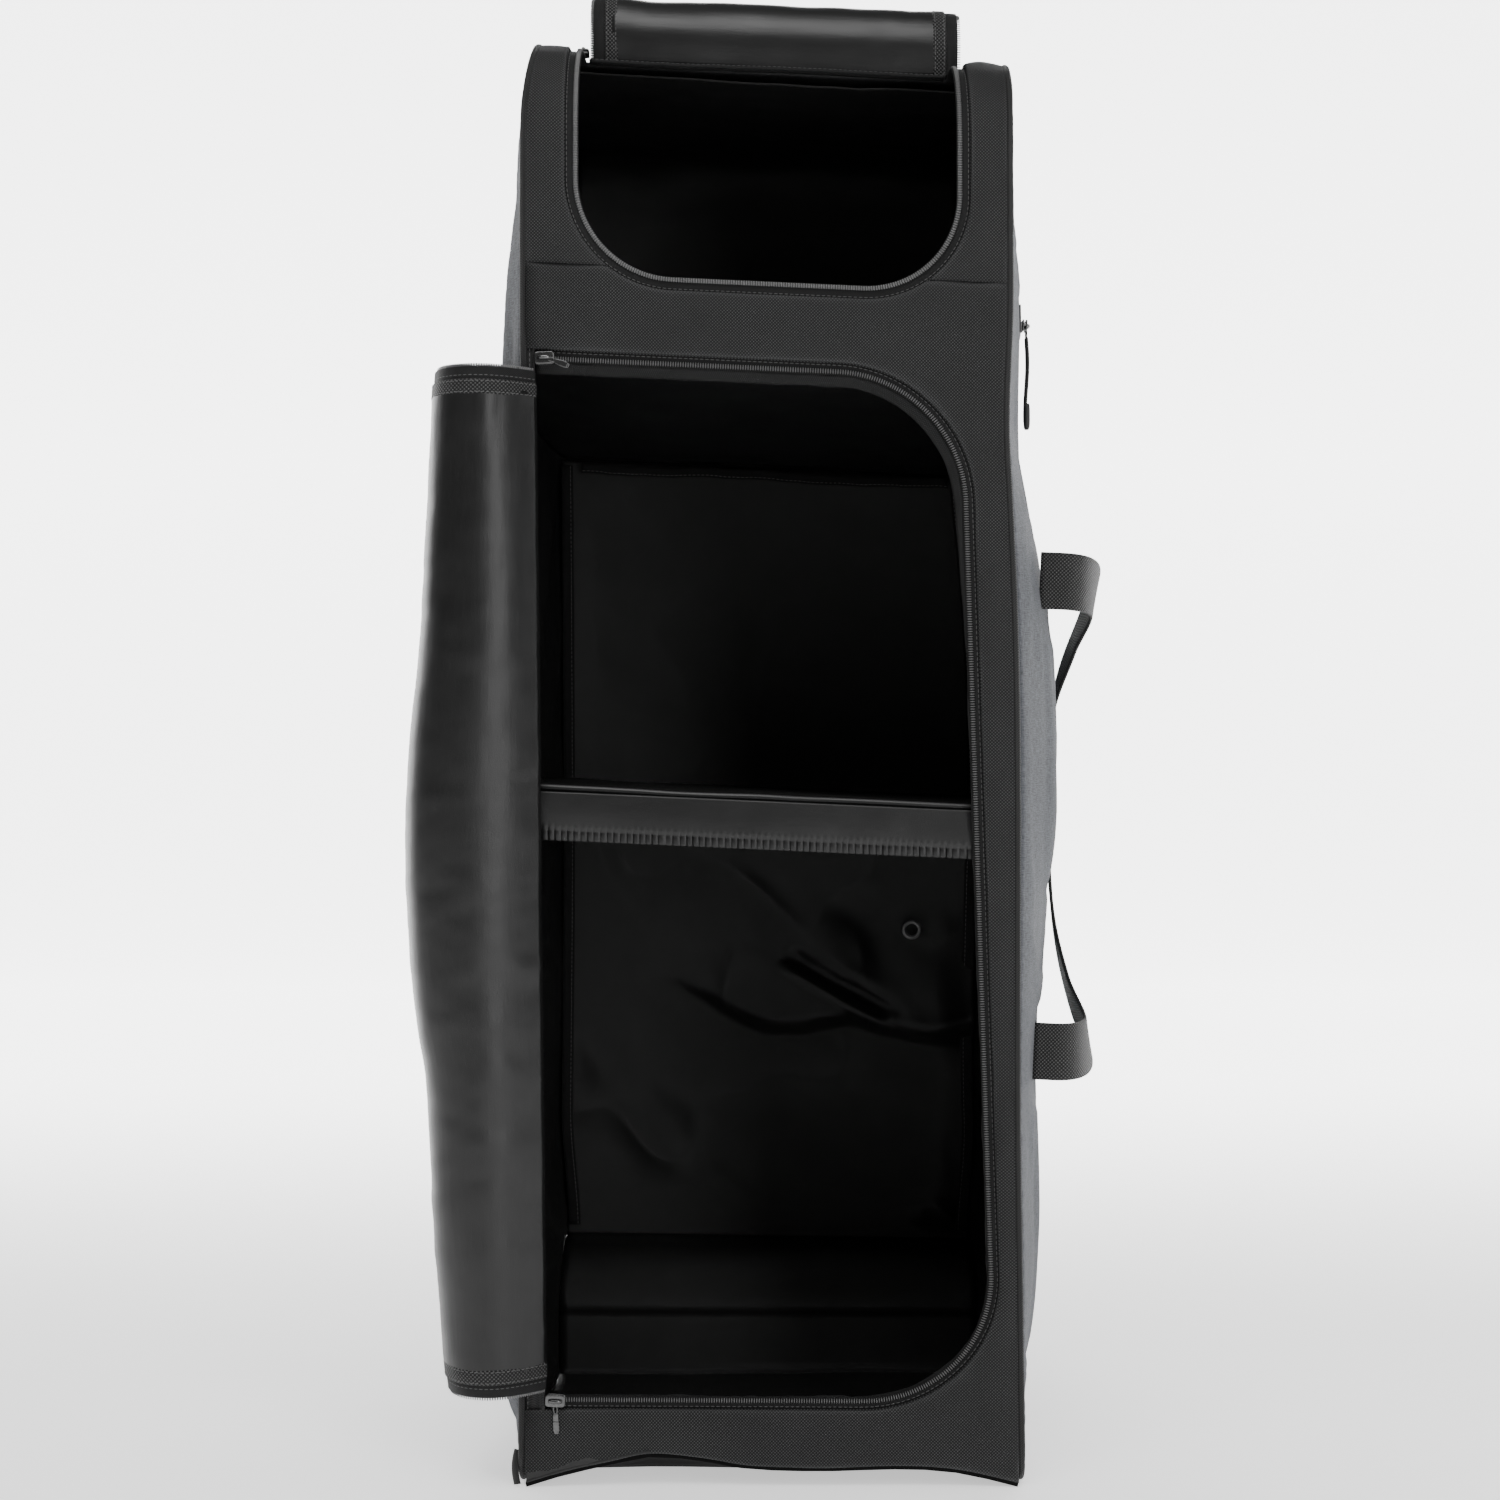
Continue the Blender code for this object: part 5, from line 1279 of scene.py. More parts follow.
def makeRearLining():
    # Drawn into slack creases below the shelf, with painted sheen on the spare fold's crumples
    z = np.linspace(bag["housingTop"] + 0.0025, inside["floorRear"] - 0.0012, 200)
    x, y, z = between(bag["rear"] - inside["liningBack"], z, 112, 0.0, -0.0006)
    loose = 0.0020 + 0.0030 * smooth((inside["shelf"] - 0.01 - z) / 0.05)
    fold = clouds(x * 7 + z * 9, z * 6 - x * 4, 103) + 1.2 * creases(x * 9 + z * 6, z * 7 - x * 3, 107)
    out, shine = slackFold(x, z)
    y = y - loose * np.clip(fold + 0.3, 0, 3) * smooth(insetBy(x, z) / 0.03) - out
    lining("rear_lining_cloth", settle(joined(x, y, z)), 0.0010, uv=joined(x, z), wear=shine,
           facing=(0, -1, 0), replaced=("rear_lining",))


def makeSideLinings():
    # Just inside the walls, with creases that only stand inward and end at the ceiling
    for side, label in sides:
        y, z, keep = sideGrid(bag["seamInset"] + 0.002, bag["piping"] + 0.006, bag["height"] - 0.008, 0.002,
                              (20, 116), 44, 39)
        strength = np.exp(-((z - 0.325) / 0.07)**2) + 0.25
        fold = (0.0036 * strength * creases(y * 9 + z * 5, z * 8 - y * 4, 109 + side)
                + 0.0010 * (clouds(y * 14, z * 11, 113) + 1))
        lift = -bag["wall"] - 0.0004 - fold * calm(side, y, z) * smooth((0.66 - z) / 0.02)
        lining("side_lining_" + label, sideAt(side, y, z, lift), 0.0004, uv=joined(y, z),
               facing=(-side, 0, 0), keep=keep)


def makeInsideSeams(rear):
    # Bound seams where the rear lining meets the sides and the ceiling, each sewn with a row of stitches
    z = np.linspace(bag["housingTop"] + 0.012, inside["floorRear"] - 0.006, 150)
    for side, label in sides:
        x = np.abs(sideX(side, rear - 0.004, z)) - bag["wall"] - 0.0060
        wave = 0.0008 * clouds(z * 40, 0.5, 181)
        line = lambda outset, lift: settle(joined(side * (x - outset), rear - 0.0050 - lift + wave, z))
        profile = flatProfile(-0.0030, 0.0060, 0, 0.0012, 0.0005)
        band("inside_seam_" + label, line, profile, "tapeWeave", "lining")
        stitches("inside_stitches_" + label, line, 0.0040, 0.0012, "lining")
    across = np.linspace(-0.140, 0.142, 120)
    dip = 0.0010 * clouds(across * 40, 0.5, 183)
    line = lambda outset, lift: settle(joined(across, rear - 0.0056 - lift,
                                              inside["floorRear"] - 0.0060 - outset + dip))
    band("ceiling_seam", line, flatProfile(-0.0020, 0.0060, 0, 0.0012, 0.0005), "tapeWeave", "lining")
    stitches("ceiling_stitches", line, 0.0042, 0.0012, "lining")


spare = dict(left=-0.100, wide=0.260, top=0.360, deep=0.100, out=0.014, crumple=0.0050,
             foldX=0.006, foldZ=0.310, foldWay=(0.885, 0.465), foldLong=0.085,
             ridge=0.0050, ridgeWide=0.0035, valley=0.0120, valleyBack=0.011, valleyWide=0.0070)


def slackFold(x, z):
    # Spare lining under the shelf: out a little more the lower it hangs, then sharply back. One slanting fold
    # crosses it, a thin ridge with a valley behind it, each a bell of the distance to the fold's line
    u = np.clip((x - spare["left"]) / spare["wide"], 0, 1)
    depth = spare["deep"] * (0.70 + 0.30 * smooth(u / 0.5)) + 0.008 * clouds(x * 13, 0.5, 175)
    v = (spare["top"] - z) / depth
    out = smooth(v / 0.9) * (1 - smooth((v - 0.92) / 0.20)) * smooth(u / 0.42)
    cos, sin = spare["foldWay"]
    along = (x - spare["foldX"]) * cos + (spare["foldZ"] - z) * sin
    behind = (x - spare["foldX"]) * sin - (spare["foldZ"] - z) * cos
    held = smooth(along / 0.025) * (1 - smooth((along - spare["foldLong"]) / 0.03))
    ridge = spare["ridge"] * np.exp(-(behind / spare["ridgeWide"])**2)
    valley = spare["valley"] * np.exp(-((behind - spare["valleyBack"]) / spare["valleyWide"])**2)
    crumple = creases(x * 11 + z * 7, z * 12 - x * 5, 171)**1.6
    push = out * (spare["out"] + spare["crumple"] * crumple) + (ridge - valley) * held * smooth(v / 0.3)
    # The second value is painted sheen: lighter where the fold stands out and crumples
    return push, np.clip(out * (0.25 + 0.6 * crumple), 0, 1)


eyelet = dict(x=0.114, z=0.338, out=0.012, radius=0.0060, thick=0.0016)


def makeEyelet(rear):
    # A moulded ring at the right of the slack lining, turned from a small circle
    centre = settle([eyelet["x"], rear - eyelet["out"], eyelet["z"]])
    turn = np.linspace(0, tau, 48, endpoint=False)
    ring = centre + eyelet["radius"] * joined(np.cos(turn), 0, np.sin(turn))
    shape = wire(ring, eyelet["thick"], closed=True, sides=10, flat=0.7, way=(0, 1, 0))
    together("lining_eyelet", [shape], "zipTeeth", "moulded")


baseCloth = dict(front=0.0042, level=0.0042, corner=0.043, clear=0.003, runs=(60, 10, 14, 12))


def makeBaseLining(rear):
    # From the front, along the bottom, up and over the wheel housing to the rear lining
    ahead, up, bend, over = baseCloth["runs"]
    turn = quarter(bend)
    r, level = baseCloth["corner"], baseCloth["level"]
    wall, top = bag["housingFront"] - baseCloth["clear"], bag["housingTop"] + baseCloth["clear"]
    y = np.concatenate([np.linspace(bag["front"] + baseCloth["front"], wall, ahead), np.full(up, wall),
                        wall + r - r * np.cos(turn), np.linspace(wall + r, rear + 0.002, over)[1:]])
    z = np.concatenate([np.full(ahead, level), np.linspace(level, top - r, up + 1)[1:],
                        top - r + r * np.sin(turn), np.full(over - 1, top)])
    x, yy, _ = between(y, np.maximum(z, 0.012), 49)
    under = archZ(x) * (1 - smooth((yy - bag["front"]) / 0.045))
    zz = np.broadcast_to(z[:, None], x.shape)
    rise = np.maximum(zz, under + 0.0036) + 0.0010 * (clouds(x * 14, yy * 14, 131) + 1) * (zz < 0.01)
    lining("base_lining", settle(joined(x, yy, rise)), 0.0006, uv=joined(x, (y + z)[:, None]),
           facing=(0, -0.3, 1))


def makeUpperLining():
    # Behind and above the upper compartment, just inside the shell
    s = np.linspace(upper["hinge"] + 0.004, bag["backStart"] + 0.190, 72)[:, None]
    z = shellAt(0, s[:, 0])[:, 2]
    low, high = seamX(-1, z) + 0.006, seamX(1, z) - 0.006
    x = spread(low, high, np.linspace(0, 1, 45))
    fold = 0.0016 * (clouds(x * 11, s * 13, 141) + 1.2) + 0.0020 * creases(x * 9, s * 8, 143)
    lining("upper_lining", shellAt(x, s, -bag["wall"] - 0.0015 - fold), 0.0006, uv=joined(x, s),
           facing=(0, -1, 0))


def makeShelf(rear):
    # A slightly sagging board of cloth across the whole depth
    y = np.linspace(bag["front"] + inside["shelfBack"], rear, 32)
    x, y, z = between(y, inside["shelf"], 49, inside["shelfThick"])
    edge = np.minimum(x - x[:, :1], x[:, -1:] - x)
    sag = -0.0006 * smooth(edge / 0.05) + 0.0004 * clouds(x * 20, y * 20, 121)
    lining("shelf_cloth", settle(joined(x, y, z + sag)), 0.0046, uv=joined(x, y), facing=(0, 0, 1),
           replaced=("shelf",))


lip = dict(steps=24, ribs=0.0004, ribPitch=0.0042, ribFrom=0.62, bow=0.0012, seam=0.0010, seamAt=0.80,
           rows=(("upper", 0.80), ("lower", 0.93)))


def makeLip():
    # The lip hangs from the shelf's front. Its bound foot is drawn into small ribs.
    drop = np.linspace(0, 1, lip["steps"])
    z = inside["shelf"] - inside["lip"] * drop
    x, y, z = between(bag["front"] + inside["shelfBack"] - 0.0028, z[::-1], 420)
    z, x, y = z[::-1], x[::-1], y[::-1]
    down = drop[:, None]
    foot = smooth((down - lip["ribFrom"]) / 0.2)
    rib = lip["ribs"] * np.sin(x * tau / lip["ribPitch"] + 1.5 * clouds(x * 70, 0.5, 125)) * foot
    bow = lip["bow"] * np.sin(math.pi * down) + 0.0010 * clouds(x * 14, z * 18, 127)
    seam = -lip["seam"] * np.exp(-((down - lip["seamAt"]) / 0.03)**2)
    grid = joined(x, y - rib - bow - seam, z)
    piece = cloth("shelf_lip_cloth", settle(grid), "lipSatin", "satin", 0.0020, uv=joined(x, z),
                  wear=np.broadcast_to(foot * 0.5, x.shape), facing=(0, -1, 0), replaced=("shelf_lip",))
    for name, share in lip["rows"]:
        line = settle(grid[int(round(share * (len(drop) - 1)))] - [0, 0.0001, 0])
        edge = lambda outset, lift: line - np.array([0, 1, 0]) * lift
        stitches("lip_stitches_" + name, edge, 0, 0.0, "satin")


rearInside = bag["rear"] - inside["liningBack"] - bag["wall"] - bag["gap"]
makeCeiling(rearInside)
makeRearLining()
makeSideLinings()
makeEyelet(rearInside)
makeShelf(rearInside)
makeLip()
makeBaseLining(rearInside)
makeUpperLining()
makeInsideSeams(rearInside)
print("inside made")


# Straps: the carry handle on the right and the pull handle behind

strap = dict(width=0.038, thick=0.0025)


def strapPiece(name, path, ways, width, finish, slot, **more):
    # A flat tape with thick rounded edges, as a closed profile along its path
    up = upFrom(path, ways)
    t = strap["thick"] / 2
    across = np.array([-1, -0.97, -0.90, -0.45, 0, 0.45, 0.90, 0.97])
    across = np.concatenate([across, -across])
    over = np.array([0, 0.85, 1, 0.84, 0.80, 0.84, 1, 0.85])
    over = np.concatenate([over, -over]) * t
    rings = (path[:, None] + ways[:, None] * across[None, :, None] * width / 2
             + up[:, None] * over[None, :, None])
    uv = joined(across[None] * width / 2, runAlong(path)[:, None])
    return loft(name, rings, finish, slot, uv=uv, **more)


handle = dict(upper=0.592, lower=0.279, setback=0.060, back=0.195,
              leg=[(0.0, 0.0, 0.0), (0.024, 0.004, 0.0), (0.040, 0.028, 0.003), (0.034, 0.068, 0.031)],
              grip=[(0.008, -0.012, 0.081), (0.006, 0.0, 0.131)])


def makeCarryHandle():
    # A strap through knots: off the side, up past the grip and back, mirrored in height
    knots = []
    middle = (handle["upper"] + handle["lower"]) / 2
    grip = float(sideX(1, bag["front"] + handle["back"], middle))
    for height, way in ((handle["upper"], 1), (handle["lower"], -1)):
        seat = height + np.array([-0.5, 0, 0.5]) * strap["width"]
        y = bag["front"] + handle["setback"]
        start = float(np.max(sideX(1, y + strap["thick"], seat))) - bag["gap"]
        leg = [settle([start + out, y + back, height - way * drop]) for out, back, drop in handle["leg"]]
        y = bag["front"] + handle["back"]
        leg += [settle([grip + out, y + back, height - way * drop]) for out, back, drop in handle["grip"]]
        knots += leg if way > 0 else leg[::-1]
    path = through(knots, 160)
    ways = carried(path, (0, 0, 1))
    strapPiece("carry_strap", path, ways, strap["width"], "dotWebbing", "webbing",
               replaced=("carry_handle",))


pull = dict(top=0.865, length=0.170, reach=0.034,
            loop=[(0, 0), (0.7, 0.01), (1, 0.22), (1, 0.78), (0.7, 0.99), (0, 1)])


def makePullHandle():
    # A strap through the knots of its loop, on the back
    seat = bag["rear"] + 0.0009
    path = through([(0, seat + out * pull["reach"], pull["top"] - down * pull["length"])
                    for out, down in pull["loop"]], 80)
    strapPiece("pull_strap", path, carried(path, (1, 0, 0)), strap["width"], "blackWebbing", "webbing",
               replaced=("pull_handle",))


def makeStrapStitches():
    # A foot under each end of the pull handle, sewn through with a box and a cross
    half = strap["width"] / 2 - 0.003
    corners = np.array([(-1, -1), (1, -1), (1, 1), (-1, 1), (-1, -1), (1, 1), (1, -1), (-1, 1)]) * half
    def traced(at):
        # The box and cross as one line of short steps
        step = np.linspace(0, 1, 24)[:, None]
        return np.concatenate([at(a + (b - a) * step) for a, b in zip(corners[:-1], corners[1:])])
    for name, height, way in (("upper", pull["top"], 1), ("lower", pull["top"] - pull["length"], -1)):
        across = np.linspace(-half - 0.003, half + 0.003, 12)[None]
        up = height + way * np.linspace(-0.002, 2 * half + 0.004, 12)[:, None]
        foot = settle(joined(across, bag["rear"] + 0.0024, up))
        cloth("pull_foot_" + name, foot, "blackWebbing", "webbing", 0.0016, facing=(0, 1, 0))
        at = lambda flat: joined(flat[:, 0], bag["rear"] + 0.0026, height + way * (half + 0.002) + flat[:, 1])
        line = settle(traced(at))
        edge = lambda outset, lift: line + np.array([0, 1, 0]) * lift
        stitches("pull_stitches_" + name, edge, 0, 0.0001, "webbing")


def makeSeamStitches():
    # Dashes beside the seam between the front panel and the surround, and beside the piping at the back
    z = bag["upperSeam"]
    inner = upper["halfWidth"] + 0.002
    ends = dict(left=(-0.152, upper["centre"] - inner), right=(upper["centre"] + inner - 0.022, 0.156))
    for label, (low, high) in ends.items():
        x = np.linspace(low, high, 30)
        line = lambda outset, lift: shellAt(x, z + outset, lift)
        stitches("seam_stitches_" + label, line, 0.0030, 0.0006, "front_weave")
        band("seam_fold_" + label, line, flatProfile(-0.0012, 0.0008, -0.0014, 0.0006, 0.0006), "frontWeave",
             "front_weave")
    s = np.linspace(bag["rearSeam"] + 0.004, bag["backEnd"] - 0.004, 200)
    height = shellAt(0, s)[:, 2]
    for side, label in sides:
        line = lambda outset, lift: shellAt(seamX(side, height) - side * outset, s, lift)
        stitches("back_stitches_" + label, line, 0.0062, 0.0004, "side_heather")
    across = np.linspace(-0.145, 0.145, 60)
    line = lambda outset, lift: shellAt(across, bag["rearSeam"] + outset, lift)
    band("rear_seam_fold", line, flatProfile(-0.0012, 0.0014, -0.0014, 0.0008, 0.0006), "sideHeather",
         "side_heather")
    stitches("rear_seam_stitches", line, -0.0040, 0.0008, "front_weave")


makeCarryHandle()
makePullHandle()
makeStrapStitches()
makeSeamStitches()
print("straps made")


# Right side: the closed pocket zip with its pull, and the long sleeve behind it

pocket = dict(height=0.765, front=0.060, rear=0.270, slider=0.085, strand=0.0011)
sleeve = dict(front=0.226, rear=0.318, bottom=0.160, top=0.640, swell=0.019, power=0.6, rise=0.046)


def pocketLine(outset, lift):
    # Along the pocket zip, level on the side's surface
    y = bag["front"] + np.linspace(pocket["front"], pocket["rear"], 120)
    return sideAt(1, y, pocket["height"] + outset + 0 * y, lift)


def makePocketZip():
    # Tape, teeth, two hems with stitches, and a stop at each end
    profile = flatProfile(-0.0075, 0.0075, 0.0002, 0.0011, 0.0004)
    band("pocket_zip_tape", pocketLine, profile, "tapeWeave", "zip", replaced=("side_pocket_zip",))
    teeth("pocket_zip_teeth", pocketLine, 0.0, 0.0014, 0.0046)
    for name, low, high in (("upper", 0.0058, 0.0088), ("lower", -0.0088, -0.0058)):
        band("pocket_hem_" + name, pocketLine, flatProfile(low, high, 0.0002, 0.0020, 0.0008), "sideHeather",
             "side_heather")
        stitches("pocket_stitches_" + name, pocketLine, (low + high) / 2, 0.0020, "zip")
    for name, back in (("front", pocket["front"] - 0.002), ("rear", pocket["rear"] + 0.002)):
        z = np.linspace(-0.009, 0.009, 12)
        line = sideAt(1, bag["front"] + back + 0 * z, pocket["height"] + z, 0.0014)
        points, faces = wire(line, 0.0012, flat=2.2, way=(0, 1, 0))
        together("pocket_stop_" + name, [(points, faces)], "blackWebbing", "webbing")


def sleeveAt(share, z, lift=0.0):
    # The side, stood off by a power of a sine across, and eased in above its foot
    y = bag["front"] + sleeve["front"] + (sleeve["rear"] - sleeve["front"]) * share
    proud = sleeve["swell"] * np.sin(math.pi * np.clip(share, 0, 1))**sleeve["power"]
    foot = smooth((z - sleeve["bottom"]) / sleeve["rise"])
    return sideAt(1, y, z, 0.0037 + proud * foot + lift)


def makeSleeve():
    # An open-topped sleeve that stands off the side, with its rim and two bindings
    z = np.linspace(sleeve["bottom"], sleeve["top"], 120)[:, None]
    share = (0.5 - 0.5 * np.cos(np.linspace(0, math.pi, 37)))[None]
    fade = np.sin(math.pi * share)**0.7
    fold = 0.0016 * clouds(share * 2.2, z * 9, 151) + 0.0022 * creases(share * 1.6, z * 6, 153) - 0.001
    cling = smooth((sleeve["top"] - z) / 0.05)
    grid = sleeveAt(share, z, fold * fade * cling)
    edge = np.minimum(share, 1 - share) * 0.09 + 0 * z
    uv = joined(share * 0.11, z)
    cloth("sleeve_cloth", grid, "sideHeather", "side_heather", 0.0014, uv=uv, wear=np.exp(-edge / 0.003),
          facing=(1, 0, 0), replaced=("side_sleeve",))
    across = np.linspace(0.01, 0.99, 60)
    rim = lambda outset, lift: sleeveAt(across, sleeve["top"] + outset + 0 * across, lift)
    band("sleeve_rim", rim, flatProfile(-0.010, 0.0012, -0.0018, 0.0008, 0.0008), "blackWebbing", "webbing")
    stitches("sleeve_rim_stitches", rim, -0.0082, 0.0008, "webbing")
    rise = np.linspace(sleeve["bottom"] + 0.004, sleeve["top"] - 0.004, 150)
    for name, at in (("front", 0.03), ("rear", 0.97)):
        line = lambda outset, lift: sleeveAt(at + outset, rise, lift)
        band("sleeve_binding_" + name, line, flatProfile(-0.030, 0.050, -0.0020, 0.0008, 0.0008), "tapeWeave",
             "webbing")
        stitches("sleeve_stitches_" + name, line, 0.0, 0.0006, "webbing")


# Sliders and their pulls

slider = dict(length=0.013, upper=(0.0126, 0.0078, 0.0014), lower=(0.0128, 0.0080, 0.0012),
              neck=(0.0034, 0.0028, 0.0030), bridge=(0.0040, 0.0012, 0.0020), strand=0.0007,
              tab=(0.0036, 0.0012))


def sliderShapes(centre, along, up):
    # Two plates, a neck between them and a bridge over the top
    along, up = unit(np.array(along, float)), unit(np.array(up, float))
    axes = [along, np.cross(up, along), up]
    centre = np.array(centre, float)
    a = np.linspace(0, math.pi, 14)[:, None]
    half, base, high = slider["bridge"]
    arc = centre + along * (-half * np.cos(a)) + up * (base + high * np.sin(a))
    return [pebble(centre + up * 0.0009, slider["upper"], axes, 0.35),
            pebble(centre - up * 0.0013, slider["lower"], axes, 0.35),
            pebble(centre + along * 0.0042, slider["neck"], axes, 0.5),
            wire(arc, slider["strand"], sides=8, flat=1.8, way=axes[1])]


def pullShapes(top, down, wide, long, width, thick):
    # A flat tab with a thicker grip, hung from a small ring
    down, wide = unit(np.array(down, float)), unit(np.array(wide, float))
    axes = [down, wide, np.cross(down, wide)]
    a = np.linspace(0, tau, 40, endpoint=False)
    top = np.array(top, float)
    ring = (top + down * 0.0022 + wide * (width * 0.34 * np.cos(a))[:, None]
            + down * (0.0026 * np.sin(a))[:, None])
    tab = pebble(top + down * (0.0042 + (long - 0.0042) / 2), (long - 0.0042, width, thick), axes, 0.4)
    grip = pebble(top + down * (long * 0.72), (long * 0.42, width * 1.15, thick * 1.25), axes, 0.4)
    return [wire(ring, 0.00045, closed=True, sides=6, way=axes[2]), tab, grip]


def metal(name, shapes, node):
    # Shapes in one slider piece
    together(name, shapes, "sliderMetal", "slider_metal", replaced=(node,))


def makeSliders():
    # Two on the main zip, one on the upper and one on the pocket, each set a little proud of its tape
    ahead = bag["front"] - 0.0023
    spots = dict(main_slider_upper=(opening["hingeTop"] + 0.0065, opening["top"] - 0.003),
                 main_slider_lower=(opening["hingeBottom"] + 0.0065, opening["bottom"] + 0.003))
    for name, (x, z) in spots.items():
        way = 1 if "upper" in name else -1
        centre = settle([x, ahead, z])
        shapes = sliderShapes(centre, (1, 0, 0.05 * way), (0, -1, 0))
        if way > 0:
            shapes += pullShapes(centre + [0.003, -0.0026, -0.001], (0.93, -0.10, -0.35), (0.35, 0, 0.93),
                                 0.014, *slider["tab"])
        metal(name + "_body", shapes, name)
    x, z = spots["main_slider_lower"]
    top = settle([x, ahead - 0.0004, z]) - [0, 0, 0.0036]
    metal("main_slider_tab", pullShapes(top, (0.05, 0, -1), (1, 0, 0), 0.0178, 0.0034, 0.0013),
          "main_slider_pull")
    s = upper["hinge"] - slider["length"]
    x = upper["centre"] - upper["halfWidth"] + 0.0033
    centre = shellAt(x, s, 0.0023)
    shapes = sliderShapes(centre, shellAt(x, s + 0.01, 0.0023) - centre, shellAt(x, s, 0.01) - centre)
    shapes += pullShapes(centre + [0, 0.002, 0.0022], (-0.2, 0.9, 0.25), (1, 0, 0), 0.016, *slider["tab"])
    metal("top_slider_body", shapes, "top_slider")
    y = bag["front"] + pocket["slider"]
    centre = sideAt(1, y, pocket["height"], 0.0049)
    shapes = sliderShapes(centre, (0, 1, 0), sideAt(1, y, pocket["height"], 0.01) - centre)
    a = np.linspace(0, tau, 30, endpoint=False)
    ring = centre + joined(0.0012 + 0 * a, 0.0026 * np.cos(a), -0.0052 + 0.0030 * np.sin(a))
    shapes.append(wire(ring, 0.0006, closed=True, sides=6, way=(1, 0, 0)))
    metal("side_slider_body", shapes, "side_slider")
    makeSidePull(centre)


pullCord = dict(drop=0.055, apart=0.0021, bow=0.0010, sway=0.0008, grip=(0.0042, 0.0082, 0.018))


def makeSidePull(centre):
    # One cord, down and up again through a moulded grip: two hanging lines joined by a half circle
    top = centre + [0.0012, 0, -0.0080]
    drop = pullCord["drop"]
    down = np.linspace(0, 1, 40)
    turn = np.linspace(0, math.pi, 12)[1:-1]
    swing = pullCord["apart"] + pullCord["bow"] * np.sin(math.pi * np.clip(down * 1.15, 0, 1))
    sway = pullCord["sway"] * np.sin(down * 5)
    first = joined(sway, -swing, -down * drop)
    foot = joined(0 * turn + sway[-1], -swing[-1] * np.cos(turn), -drop - swing[-1] * np.sin(turn))
    path = top + np.concatenate([first, foot, first[::-1] * [1, -1, 1]])
    cord = together("side_pull_cord", [wire(path, pocket["strand"], sides=10, way=(1, 0, 0))], "blackWebbing",
                    "webbing", replaced=("side_zip_pull",))
    shape = pebble(top + [0.0004, 0, -drop + 0.002], pullCord["grip"], np.eye(3), 0.5)
    grip = together("side_pull_grip", [shape], "mouldedBlack", "webbing")


makePocketZip()
makeSleeve()
makeSliders()
print("side fittings and sliders made")


# Wheels, with the housing and axles kept from the CAD

wheel = dict(radius=0.040, half=0.017, x=0.124, y=0.143, z=0.040, hub=0.026, bore=0.0043)


def turned(name, profile, side, finish, slot, **more):
    # A closed profile of (along, radius) points, turned about the axle
    profile = np.array(profile)
    turn = (np.arange(120) * tau / 120)[:, None]
    rings = joined(side * wheel["x"] + profile[None, :, 0],
                                         wheel["y"] + profile[None, :, 1] * np.cos(turn),
                                         wheel["z"] + profile[None, :, 1] * np.sin(turn))
    return loft(name, rings, finish, slot, closed=True, **more)


def roundedLoop(corners, radius=0.0010, steps=4):
    # A closed outline with each corner cut by a short arc
    corners = np.array(corners, float)
    loop = []
    for k, corner in enumerate(corners):
        before, after = unit(corners[k - 1] - corner), unit(corners[(k + 1) % len(corners)] - corner)
        for t in np.linspace(0, 1, steps):
            loop.append(corner + radius * ((1 - t)**2 * before + t**2 * after))
    return loop


def makeWheels():
    # Hub and grooved tyre turned from half outlines, and finishes for the nodes that stay
    w, rim, b = wheel["half"], wheel["hub"] - 0.00015, wheel["bore"]
    for side, label in sides:
        body = "wheel_" + label
        hub = [(-w, b), (-w, b + 0.0045), (-0.4 * w, b + 0.0060), (-0.30 * w, rim - 0.006),
               (-0.55 * w, rim - 0.0045), (-0.85 * w, rim - 0.0035), (-0.85 * w, rim)]
        hub += [(-a, c) for a, c in hub[::-1]]
        turned("hub_disc_" + label, roundedLoop(hub, 0.0006), side, "mouldedBlack", "moulded", body=body,
               replaced=("hub_" + label,))
        groove = [(0.36 * w, 0.0), (0.30 * w, -0.0014), (0.20 * w, -0.0014), (0.14 * w, 0.0)]
        inner, shoulder, crown = wheel["hub"] + 0.00015, wheel["radius"] - 0.004, wheel["radius"]
        outer = [(-w, inner), (-w, shoulder), (-0.75 * w, crown - 0.0004)]
        outer += [(-a, crown + c) for a, c in groove]
        outer += [(-a, c) for a, c in outer[::-1]]
        turned("tyre_ring_" + label, roundedLoop(outer, 0.0004), side, "tyreRubber", "tyre", body=body,
               replaced=("tyre_" + label,))
    kept = dict(bottom_panel="bottomBoard", wheel_housing="mouldedBlack", axle_left="axleSteel",
                axle_right="axleSteel")
    for node, finish in kept.items():
        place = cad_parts[node].material_slots[0]
        place.link = "OBJECT"
        place.material = finishes[finish]


makeWheels()
print("wheels made")


# Stage, light and camera

stage = dict(size=6.0, bend=1.2, back=3.0, high=4.5, glow=3.8, near=0.20, rampStart=0.1, rampEnd=1.8)


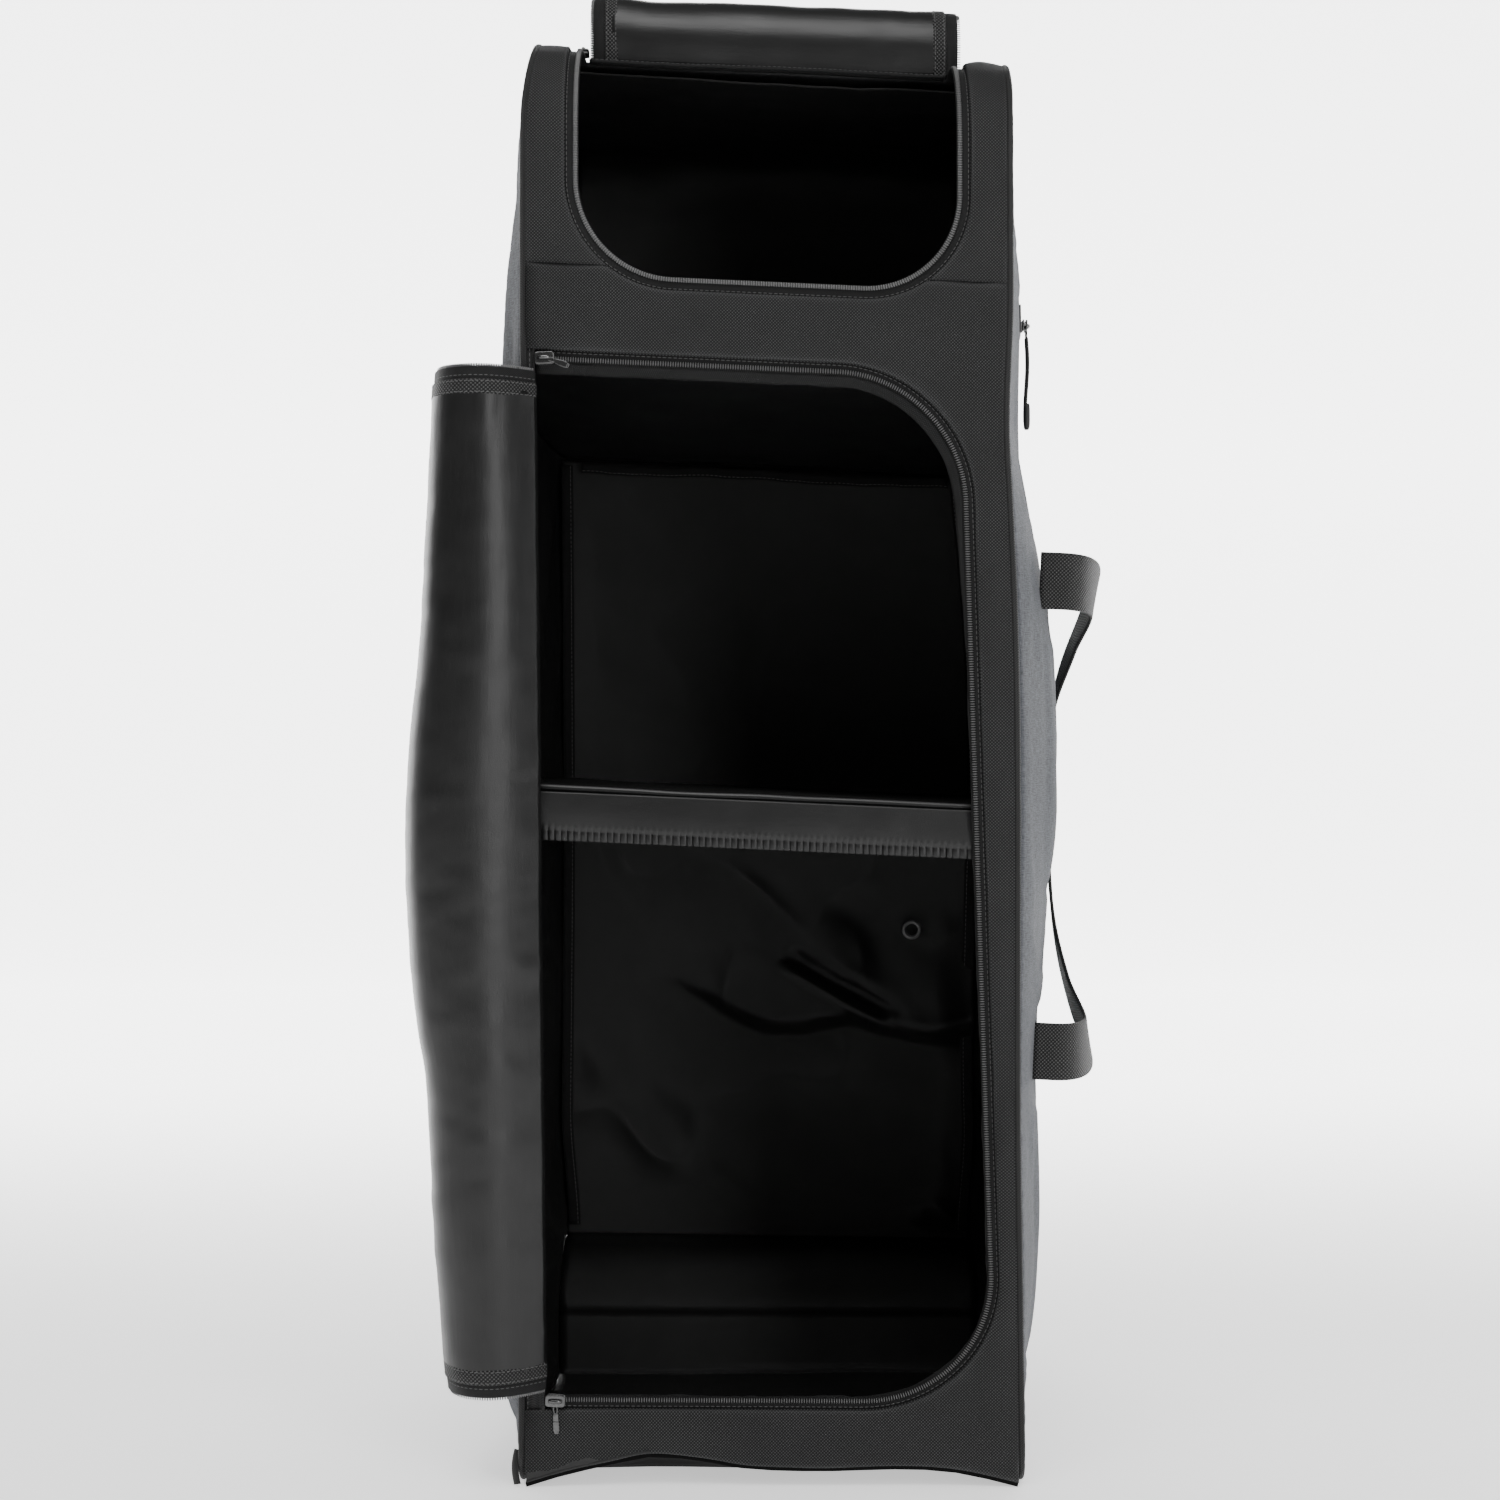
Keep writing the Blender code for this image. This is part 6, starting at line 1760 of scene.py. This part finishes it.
def makeStage():
    # A floor that bends up into a backdrop: level, a quarter circle, then upright
    turn = quarter(24)
    bend = stage["bend"]
    y = np.concatenate([[-stage["size"]], stage["back"] + np.sin(turn) * bend, [stage["back"] + bend]])
    z = np.concatenate([[0], bend - np.cos(turn) * bend, [stage["high"]]])
    x = np.linspace(-stage["size"], stage["size"], 3)
    grid = joined(x[None], y[:, None], z[:, None])
    floor = makePiece("floor", grid, gridFaces(*grid.shape[:2]).tolist(), lengthMap(grid))
    # The floor glows with painted light, faint near the bag and full toward the backdrop: a share of the
    # distance behind the bag
    book = Book("floorPaintAndGlow", Roughness=0.8, Specular_IOR_Level=0.2, Emission_Strength=stage["glow"])
    where = book.where(False)
    back = (book.split(where)[1] - stage["rampStart"]) / (stage["rampEnd"] - stage["rampStart"])
    share = book.node("Clamp", None, {0: back})
    glow = book.mix(share * share * (3.0 - share * 2.0), grey(stage["near"]), grey(1.0))
    book.link(glow, "Emission Color")
    book.link(book.mix(book.noise(where, 3.0), grey(0.84), grey(0.88)), "Base Color")
    floor.data.materials.append(finishes["floorPaintAndGlow"])


def makeLight(name, place, target, size, power):
    # A rectangular lamp turned toward its target
    data = bpy.data.lights.new(name, "AREA")
    data.shape = "RECTANGLE"
    data.size, data.size_y = size
    data.energy = power
    lamp = bpy.data.objects.new(name, data)
    lamp.location = place
    way = np.array(target) - np.array(place)
    lamp.rotation_euler = Vector(way).to_track_quat("-Z", "Y").to_euler()
    scene.collection.objects.link(lamp)


view = dict(sensor=36.0, lens=56.32, x=-0.0102, ahead=1.5, height=0.471, world=0.20)
lamps = dict(key=((1.30, -2.2, 1.1), (-0.10, -0.1, 0.5), (0.55, 1.9), 22),
             right=((2.4, 0.1, 1.1), (0, 0, 0.5), (1.0, 1.8), 24),
             left=((-2.2, 1.2, 1.2), (0, 0, 0.5), (1.0, 1.8), 14),
             above=((-0.3, -1.3, 2.5), (0, 0, 0.7), (1.8, 1.0), 34))


def makeLights():
    # Soft panels: a narrow one ahead for the satin, and wide ones at the sides and above
    for name, (place, target, size, power) in lamps.items():
        makeLight(name + "Light", place, target, size, power)
    world = bpy.data.worlds.new("studio")
    scene.world = world
    world.use_nodes = True
    world.node_tree.nodes["Background"].inputs["Color"].default_value = (1, 1, 1, 1)
    world.node_tree.nodes["Background"].inputs["Strength"].default_value = view["world"]


def makeCamera():
    # Level, ahead of the front by the distance that the scale was worked out with
    data = bpy.data.cameras.new("photoCamera")
    data.sensor_width = view["sensor"]
    data.lens = view["lens"]
    camera = bpy.data.objects.new("photoCamera", data)
    camera.location = (view["x"], bag["front"] - view["ahead"], view["height"])
    camera.rotation_euler = (math.pi / 2, 0, 0)
    scene.collection.objects.link(camera)
    scene.camera = camera


makeStage()
makeLights()
makeCamera()
print("stage, light and camera made")
